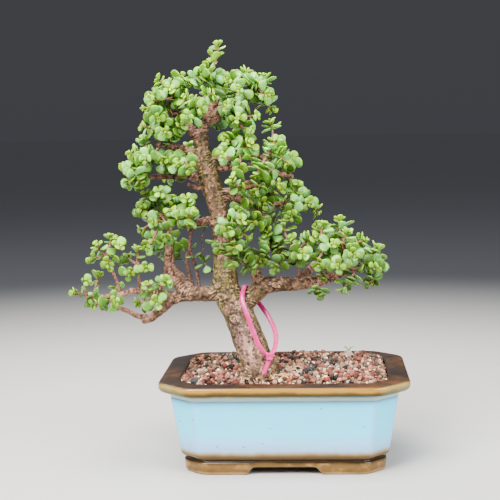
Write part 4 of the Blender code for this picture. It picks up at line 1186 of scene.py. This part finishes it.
# The leader itself carries small pairs, each crossing the one below.
for k, height in enumerate((334.5, 340, 345.5, 350.5, 355.5)):
    turn = 0.75 + k * math.pi / 2 + dice.uniform(-0.3, 0.3)
    stop = Vector(beside(-57 + (height - 322) / 22, -12, height))
    for sign in (1, -1):
        out = Vector((math.cos(turn), math.sin(turn), 0)) * sign
        try_leaf(sprays[LEADER], stop + out * 0.7 * MM, out, UP, dice.uniform(0.3, 0.9),
                 dice.uniform(0.66, 0.9), 0.4, 0)

# A sprig and some lone pairs stand on the small twigs between the two low limbs.
SPRIG_LEAVES = [  # place beside the pot's middle, way out and rise as angles, and size
    (-69, -14, 176, 2.6, 0.9, 0.8), (-70, -15, 175, 3.6, 0.1, 0.78), (-67.5, -15, 174, 5.0, -0.7, 0.85),
    (-68.5, -13, 177.5, 1.4, 1.1, 0.7), (-84, -13, 187, 3.4, 0.5, 0.72), (-81, -12, 188, 0.3, 0.6, 0.7),
    (-79, -13, 180, 0.2, 0.2, 0.8), (-80.5, -15, 181.5, 4.4, 0.3, 0.7), (-78.5, -10, 212, 0.6, 0.5, 0.85),
    (-80.5, -13, 213, 3.9, 0.5, 0.85), (-74, -12, 209, 0.2, 0.1, 0.8), (-73, -15, 208, 4.9, 0.3, 0.75),
]
for *spot, turn, tilt, size in SPRIG_LEAVES:
    out = Vector((math.cos(turn), math.sin(turn), 0))
    try_leaf(sprays["shoots_left_riser"], Vector(beside(*spot)), out, UP, tilt, size, 0.7, 0)

# Older leaves stand in pairs further down the stems, wherever there is room for them. Some
# sprays have shed most of theirs.
TRIES = {  # tries for each end of a spray, by a part of the spray's name
    "far_left": 1, "lower_left": 1, "left_riser": 10, "rear_left": 10, "mid_left": 56, "upper_left": 56,
    "top_left": 56, "leader": 70,
}
MORE_TRIES, GAP = 26, 1.7 * MM
for name, spray in sprays.items():
    stem = spray["stem"]
    stem_tree = BVHTree.FromBMesh(stem)
    faces = [f for f in stem.faces if f.calc_area() > (0.9 * MM) ** 2]
    tries = next((TRIES[part] for part in TRIES if part in name), MORE_TRIES)
    for _ in range(len(spray["ends"]) * tries):
        face = dice.choice(faces)
        corners = [v.co for v in face.verts]
        weights = [dice.random() for _ in corners]
        total = sum(weights)
        spot = sum((c * (w / total) for c, w in zip(corners, weights)), Vector())
        end = min(spray["ends"], key=lambda e: (e["end"] - spot).length)
        toward = end["end"] - spot
        if name == LEADER and spot.z > LEADER_BARE:
            continue
        if toward.length > 26 * MM or toward.length < 4 * MM:
            continue
        out = face.normal.copy()
        up = toward - out * toward.dot(out)
        if up.length < toward.length * 0.5:
            continue
        up.normalize()
        size = dice.uniform(0.70, 1.08)
        tilt = dice.uniform(0.0, 0.65)
        sway = dice.uniform(-0.3, 0.3)
        if not try_leaf(spray, spot - out * 0.3 * MM, out, up, tilt, size, 1.0, GAP, sway):
            continue
        across_stem = stem_tree.ray_cast(spot - out * 0.2 * MM, -out, 4 * MM)[0]
        if across_stem:
            try_leaf(spray, across_stem + out * 0.3 * MM, -out, up, dice.uniform(0.0, 0.65), size, 1.0, GAP,
                     dice.uniform(-0.3, 0.3))

stem_finish = Finish("young_stem", Specular_IOR_Level=0.4, Subsurface_Weight=0.05)
tender = stem_finish.mark("tender")
grain = stem_finish.place.cloud(0.0016, 3.0)
woody = grain.step(0.35, 0.65).blend(paint(84, 54, 42), paint(150, 104, 84))
fresh = grain.step(0.35, 0.65).blend(paint(112, 50, 14), paint(120, 92, 24))
stem_finish.feed("Base Color", tender.step(0.25, 0.95).blend(woody, fresh))
stem_finish.feed("Roughness", grain * 0.2 + 0.45)
stem_finish.bump(grain, 0.0004)

leaf_finish = Finish("jade_leaf", Specular_IOR_Level=0.32, Coat_Roughness=0.3, Subsurface_Weight=0.2,
                     Subsurface_Scale=0.003)
leaf_finish.shader.inputs["Subsurface Radius"].default_value = (0.45, 1.0, 0.12)
uv = leaf_finish.read("ShaderNodeUVMap", "UV", uv_map="leaf")
age = leaf_finish.mark("age")
tone = leaf_finish.mark("tone")
side = abs(uv.axis("X") - 0.5) * 2.0
run = uv.axis("Y")
clouds = leaf_finish.place.cloud(0.0045, 2.0)
fresh = tone.step(0.0, 1.0).blend(paint(150, 190, 4), paint(124, 174, 8))
mature = tone.step(0.0, 1.0).blend(paint(74, 120, 2), paint(98, 150, 10))
# Pale leaf faces: a waxy bloom, and painted sheen standing for the soft reflection of the bright overhead
# light on the faces.
bloom_and_sheen_tint = age.step(0.2, 0.7).blend(paint(170, 226, 60), paint(146, 228, 124))
bloom_and_painted_sheen = tone.step(0.40, 0.78) * 0.78 + clouds.step(0.35, 0.7) * 0.1
# The margin is painted lighter yellow-green: partly the leaf's own yellowish rim, partly painted light
# shining through the thin edge.
edge = side.step(0.74, 0.98).most(run.step(0.88, 0.99))
green = (bloom_and_painted_sheen * (1.0 - side.step(0.5, 0.9))).blend(age.step(0.1, 0.8).blend(fresh, mature), bloom_and_sheen_tint)
green = green.under(
    # The leaf's foot is painted darker as painted shade where it tucks in against the stem.
    (edge * 0.75, (160, 202, 26)), ((1.0 - run.step(0.02, 0.30)) * 0.85, (74, 104, 3)),
    # Leaves deep in the crown get painted shade, over the darker green of older inner leaves.
    (leaf_finish.mark("deep").step(0.15, 0.95) * 0.8, (34, 54, 2)))
leaf_finish.feed("Base Color", green)
leaf_finish.feed("Roughness", clouds * 0.16 + 0.32)
leaf_finish.feed("Coat Weight", clouds * 0.15)
leaf_finish.bump(leaf_finish.place.cloud(0.0012, 2.0), 0.00012)


def leaned(corners):
    """The leader sets off to the left and then leans back over the crown."""
    lean = np.interp(corners[:, 2] / MM, [322, 338, 362, 372], [0.0, -8.5, 1.0, 2.0]) * MM
    return corners + lean[:, None] * np.array([1.0, 0.0, 0.0])


# A leaf deep in the crown is painted darker than one out in the light, as painted shade, and older inner
# leaves are darker too.
all_corners, all_faces = [], []
still = random.Random(5)
for spray in sprays.values():
    for leaf in spray["leaves"]:
        start = len(all_corners) * len(leaf_corners)
        all_corners.append(leaf.shaped(still))
        all_faces += [[i + start for i in face] for face in leaf_faces]
crown_tree = BVHTree.FromPolygons([Vector(p) for p in np.concatenate(all_corners)], all_faces)
OPEN_WAYS = [  # ways up and out: one straight up, five steep and seven low
    Vector((math.cos(turn) * flat, math.sin(turn) * flat, rise))
    for flat, rise, count in ((0.0, 1.0, 1), (0.6, 0.8, 5), (0.94, 0.34, 7))
    for turn in (2 * math.pi * k / count for k in range(count))
]
SHADE_TOP, SHADE_RUN = 0.27, 0.08  # leaves below this height lie in the crown's shade


def how_deep(leaf):
    """Share of the ways up and out of the crown that other leaves and wood close off."""
    start = leaf.base + leaf.along * leaf.length * 0.6
    own = leaf.thick * 1.2
    shut = 0
    for way in OPEN_WAYS:
        if crown_tree.ray_cast(start + way * leaf.length * 0.6 + leaf.normal * own, way, 0.05)[0] is not None:
            shut += 1
    low = min(max((SHADE_TOP - start.z) / SHADE_RUN, 0.0), 1.0)
    return min(shut / len(OPEN_WAYS) + 0.3 * low, 1.0)


def close_holes(shape):
    """Close each wide hole, left where two leaves met over a stem's tip, by a strip of quads."""
    rim = {v: [e.other_vert(v) for e in v.link_edges if e.is_boundary]
           for v in shape.verts if any(e.is_boundary for e in v.link_edges)}
    while rim:
        loop = [next(iter(rim))]
        while following := [v for v in rim[loop[-1]] if v not in loop]:
            loop.append(following[0])
        rim = {v: beside for v, beside in rim.items() if v not in loop}
        half = len(loop) // 2
        turns = [loop[start:] + loop[:start] for start in range(half)]
        ladders = [list(zip(turn[:half], reversed(turn[half:]))) for turn in turns]
        rungs = min(ladders, key=lambda ladder: sum((a.co - b.co).length for a, b in ladder))
        for (a, b), (c, d) in zip(rungs, rungs[1:]):
            shape.faces.new((a, c, d, b))
    bmesh.ops.recalc_face_normals(shape, faces=shape.faces)


for number, (name, spray) in enumerate(sprays.items()):
    dice = random.Random(211 + number)
    close_holes(spray["stem"])
    stem = object_from(spray["stem"], name.replace("shoots_", "stems_"))
    modify(stem, "SUBSURF", levels=2, render_levels=2)
    stem_skin = Skin(stem)
    stem_skin.swell(0.10 + 0.14 * lumps(stem_skin.points, 2.2 * MM, number))
    tips = np.array([end["end"] for end in spray["ends"]])
    if name == LEADER:
        stem_skin.points, tips = leaned(stem_skin.points), leaned(tips)
        stem_skin.write()
    far = np.sqrt(((stem_skin.points[:, None] - tips[None]) ** 2).sum(2)).min(1)
    stem_skin.mark("tender", 1 - np.clip(far / (15 * MM), 0, 1))
    dress(stem, stem_finish)
    for polygon in stem.data.polygons:
        polygon.use_smooth = True
    leaves = spray["leaves"]
    count = len(leaf_corners)
    corners = np.concatenate([leaf.shaped(dice) for leaf in leaves])
    if name == LEADER:
        corners = leaned(corners)
    faces = [[i + count * k for i in face] for k in range(len(leaves)) for face in leaf_faces]
    mesh = bpy.data.meshes.new(name.replace("shoots_", "leaves_"))
    mesh.from_pydata(corners.tolist(), [], faces)
    loops = np.zeros(len(mesh.loops), int)
    mesh.loops.foreach_get("vertex_index", loops)
    layer = mesh.uv_layers.new(name="leaf")
    layer.data.foreach_set("uv", leaf_uv[loops % count].astype(np.float32).ravel())
    shaded = 0.72 if any(part in name for part in LOW_LEFT) else 1.0
    marks = {"age": [leaf.age for leaf in leaves], "tone": [dice.random() * shaded for _ in leaves],
             "deep": [how_deep(leaf) for leaf in leaves]}
    for mark, values in marks.items():
        attribute = mesh.attributes.new(mark, "FLOAT", "POINT")
        attribute.data.foreach_set("value", np.repeat(values, count).astype(np.float32))
    mesh.materials.append(leaf_finish.material)
    foliage = placed(mesh.name, mesh)
    faced_out(foliage)
    bpy.ops.object.shade_smooth()
    foliage = joined([foliage, stem], name.replace("shoots_", "spray_"))
    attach(foliage, "root")
    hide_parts(name)

# ================================================================ tag strap
# A pink plastic tag strap is looped through the lowest crotch and locked at the trunk's foot.
# It is moulded flat, with a small head that the toothed tail passes through.

STRAP_LOOP = [
    (-11, -53, 99), (-18, -53, 105), (-24, -51, 117), (-30, -47.5, 134), (-34.5, -43, 146),
    (-34.5, -39, 152.5), (-33.5, -33, 156), (-33, -26, 157.5), (-31.5, -19, 155), (-28, -14, 148),
    (-20, -17, 138), (-12, -23, 127), (-7, -33, 116), (-7, -43, 107), (-10, -50, 101),
]
STRAP_TAIL = [(-11.5, -53, 98), (-14, -54, 91), (-17, -55, 84)]
STRAP_LEVEL = Vector((1, -0.25, 0))


def smooth_route(stops, steps):
    """A round curve through the stops, in metres beside the pot's middle."""
    stops = [Vector(beside(*stop)) for stop in stops]
    padded = [stops[0] * 2 - stops[1], *stops, stops[-1] * 2 - stops[-2]]
    made = []
    for a, b, c, d in zip(padded, padded[1:], padded[2:], padded[3:]):
        for i in range(steps):
            t = i / steps
            made.append(0.5 * (2 * b + (c - a) * t + (2 * a - 5 * b + 4 * c - d) * t * t
                               + (3 * b - a - 3 * c + d) * t ** 3))
    return made + [stops[-1]]


def along_strap(route, i):
    """The ways along, across and out of the strap at one point of its route."""
    run = (route[min(i + 1, len(route) - 1)] - route[max(i - 1, 0)]).normalized()
    across = (STRAP_LEVEL - run * run.dot(STRAP_LEVEL)).normalized()
    return run, across, run.cross(across)


def strap_strip(name, route, width, thick):
    """Flat strip with rounded edges along a route, its width held level."""
    half, flat = width / 2, thick / 2
    section = [(half, 0), (half - 0.15 * thick, 0.6 * flat), (half - 0.45 * thick, flat),
               (0.45 * thick - half, flat), (0.15 * thick - half, 0.6 * flat), (-half, 0)]
    section += [(x, -y) for x, y in section[4:0:-1]]
    shape = bmesh.new()
    rings = []
    for i, point in enumerate(route):
        run, across, out = along_strap(route, i)
        rings.append([shape.verts.new(point + across * x + out * y) for x, y in section])
    for low, high in zip(rings, rings[1:]):
        for i in range(len(section)):
            j = (i + 1) % len(section)
            shape.faces.new((low[i], low[j], high[j], high[i]))
    shape.faces.new(rings[0][::-1])
    shape.faces.new(rings[-1])
    bmesh.ops.recalc_face_normals(shape, faces=shape.faces)
    return object_from(shape, name)


strap = strap_strip("tag_strap_loop", smooth_route(STRAP_LOOP, 7), 4.2 * MM, 1.1 * MM)
tail_route = smooth_route(STRAP_TAIL, 9)
tail = strap_strip("strap_tail", tail_route, 3.4 * MM, 1.0 * MM)
head = added(bpy.ops.mesh.primitive_cube_add, size=1.0, location=beside(-11.5, -52.5, 99.5))
head.scale = (5.6 * MM, 5.0 * MM, 5.4 * MM)
settle(head)
edit(head)
pick("faces", lambda f: abs(f.normal.z) > 0.9)
bpy.ops.mesh.inset(thickness=1.3 * MM, depth=0)
bpy.ops.mesh.inset(thickness=0.1 * MM, depth=-1.2 * MM)
pick("faces", lambda f: f.normal.y < -0.9 and f.calc_area() > 2e-5)
bpy.ops.mesh.inset(thickness=1.1 * MM, depth=0)
bpy.ops.mesh.inset(thickness=0.1 * MM, depth=-0.5 * MM)
edit()
modify(head, "BEVEL", width=0.45 * MM, segments=2, limit_method="ANGLE", angle_limit=math.radians(40))
teeth = []
for i in range(3, len(tail_route) - 2):
    run, across, out = along_strap(tail_route, i)
    turn = Matrix((across, out, run)).transposed().to_4x4()
    tooth_size = Matrix.Diagonal((1.1 * MM, 0.9 * MM, 0.5 * MM, 1.0))
    tooth = added(bpy.ops.mesh.primitive_cube_add, size=1.0)
    tooth.matrix_world = Matrix.Translation(tail_route[i] - across * 1.75 * MM) @ turn @ tooth_size
    settle(tooth)
    modify(tooth, "BEVEL", width=0.12 * MM, segments=1)
    teeth.append(tooth)
strap = joined([strap, tail, head, *teeth], strap.name)
bpy.ops.object.shade_smooth_by_angle(angle=math.radians(40))
tag_plastic = Finish("tag_plastic", Subsurface_Weight=0.15, Subsurface_Scale=0.002, Coat_Weight=0.25,
                     Coat_Roughness=0.15)
haze = tag_plastic.place.cloud(0.007, 3.0)
tag_plastic.feed("Base Color", haze.step(0.3, 0.7).blend(paint(190, 6, 100), paint(206, 28, 124)))
tag_plastic.feed("Roughness", haze * 0.2 + 0.22)
tag_plastic.bump(tag_plastic.place.cloud(0.0015), 0.0001)
dress(strap, tag_plastic)
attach(strap, "root")
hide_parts("tag_strap")

# ================================================================ pointed stone and seedling
# A rough pink grey stone stands half sunk near the back right of the pot, and a tiny seedling
# has sprouted at its top.

stone = object_from(merged_copy("pointed_stone"), "pointed_stone_rough")
modify(stone, "SUBSURF", subdivision_type="SIMPLE", levels=4, render_levels=4)
stone_skin = Skin(stone)
stone_skin.points = stone_skin.eased(stone_skin.points, 4)
relief = lumps(stone_skin.points, 5 * MM, 2.0) * 0.7 + lumps(stone_skin.points, 1.8 * MM, 9.0) * 0.35
stone_skin.swell(relief + 0.2)
alone(stone)
bpy.ops.object.shade_smooth_by_angle(angle=math.radians(35))
stone_finish = Finish("pointed_stone", Roughness=0.85)
veins = stone_finish.place.cloud(0.004, 4.0, 0.65)
stone_finish.feed("Base Color", veins.ramp([(0.3, paint(120, 92, 84)), (0.5, paint(176, 148, 136)),
                                            (0.7, paint(206, 186, 174))]))
stone_finish.bump(stone_finish.place.cloud(0.0012, 4.0), 0.0008)
dress(stone, stone_finish)
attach(stone, "root")
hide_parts("pointed_stone")


def strand(name, stops, start, end, sides=2):
    """Thin round strand through its stops, from one half thickness to another."""
    line = bpy.data.curves.new(name, "CURVE")
    line.dimensions = "3D"
    line.bevel_depth = 1.0
    line.bevel_resolution = sides
    line.use_fill_caps = True
    path = line.splines.new("POLY")
    path.points.add(len(stops) - 1)
    for i, (point, stop) in enumerate(zip(path.points, stops)):
        point.co = (*stop, 1.0)
        point.radius = start + (end - start) * i / (len(stops) - 1)
    alone(placed(name, line))
    bpy.ops.object.convert(target="MESH")
    return bpy.context.object


stone_low, stone_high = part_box("pointed_stone")
root_of = Vector(((stone_low.x + stone_high.x) / 2 + 0.5 * MM, (stone_low.y + stone_high.y) / 2,
                  stone_high.z - 1.0 * MM))
dice = random.Random(7)
sprout_parts = []
for turn in (0.4, 2.3, 3.6, 5.2):
    lean = Vector((math.cos(turn), math.sin(turn), 0)) * 2.6 * MM
    stops = [root_of + lean * out + UP * rise * MM
             for out, rise in ((0.0, 0.0), (0.3, 2.2), (1.0, 4.2), (1.9, 4.9))]
    sprout_parts.append(strand("sprout", stops, 0.35 * MM, 0.55 * MM))
seedling = joined(sprout_parts, "seedling")
bpy.ops.object.shade_smooth()
seedling_finish = Finish("seedling_green", Roughness=0.45)
seedling_tint = seedling_finish.place.cloud(0.002).blend(paint(110, 160, 70), paint(176, 208, 130))
seedling_finish.feed("Base Color", seedling_tint)
dress(seedling, seedling_finish)
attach(seedling, "root")

# ================================================================ dry roots
# Fine dry roots, tan and curled, lie over the grit at the front of the trunk's foot.

dice = random.Random(29)
threads = []
for k in range(46):
    x = pot_x + dice.uniform(-36, 8) * MM
    y = pot_y + dice.uniform(-57, -30) * MM
    turn = dice.uniform(0, 2 * math.pi)
    stops = []
    for i in range(7):
        stops.append(Vector((x, y, soil_top(x, y, 0.078) + (3.4 + 1.3 * math.sin(i * 1.1 + k)) * MM)))
        turn += dice.uniform(-0.7, 0.7)
        x += math.cos(turn) * 2.4 * MM
        y += math.sin(turn) * 1.6 * MM
    threads.append(strand("thread", stops, 0.55 * MM, 0.3 * MM, 1))
roots = joined(threads, "dry_roots")
bpy.ops.object.shade_smooth()
dry_root = Finish("dry_root", Roughness=0.85)
dry_root.feed("Base Color", dry_root.place.cloud(0.003).blend(paint(168, 128, 80), paint(228, 194, 142)))
dress(roots, dry_root)
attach(roots, "root")

# Small twigs and a curled air root fill the space between the two low limbs on the left.
TWIGS = [  # half thickness at its start and end, then its stops beside the pot's middle
    (2.0, 1.3, [(-79.6, -12, 150), (-80.4, -12, 156), (-82.2, -11.5, 162), (-83.6, -12, 168),
                (-85.2, -12, 176), (-84.6, -11, 183), (-82.6, -12, 190), (-81.4, -11, 198),
                (-80.0, -11, 206), (-79.2, -10, 212)]),
    (1.7, 1.1, [(-74.4, -12, 150), (-74.8, -12.5, 157), (-75.6, -12, 164), (-77.2, -12, 172),
                (-78.6, -13, 178), (-81.5, -12, 186), (-82.4, -12, 190)]),
    (0.8, 0.6, [(-80.0, -11, 206), (-77, -12, 208), (-73, -13, 208.5)]),
    (1.0, 0.7, [(-62.5, -12, 168), (-65.5, -13, 172), (-69, -14, 175.5)]),
    (0.5, 0.4, [(-67.6, -10, 211), (-68.6, -12, 206), (-70.0, -13, 201.5), (-71.9, -13, 195.6),
                (-70.6, -12, 192), (-69.6, -12, 189.6), (-71.2, -12, 185.6), (-73.1, -12, 182.1),
                (-72.4, -12, 178)]),
]
twigs = [strand("twig", [Vector(beside(*stop)) for stop in stops], start * MM, end * MM)
         for start, end, stops in TWIGS]
dry_twigs = joined(twigs, "dry_twigs")
bpy.ops.object.shade_smooth()
twig_finish = Finish("twig_bark", Roughness=0.8)
knuckles = twig_finish.place.cloud(0.0018, 4.0, 0.65)
twig_finish.feed("Base Color", knuckles.step(0.35, 0.65).blend(paint(58, 36, 26), paint(150, 108, 90)))
twig_finish.bump(knuckles, 0.0006)
dress(dry_twigs, twig_finish)
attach(dry_twigs, "root")
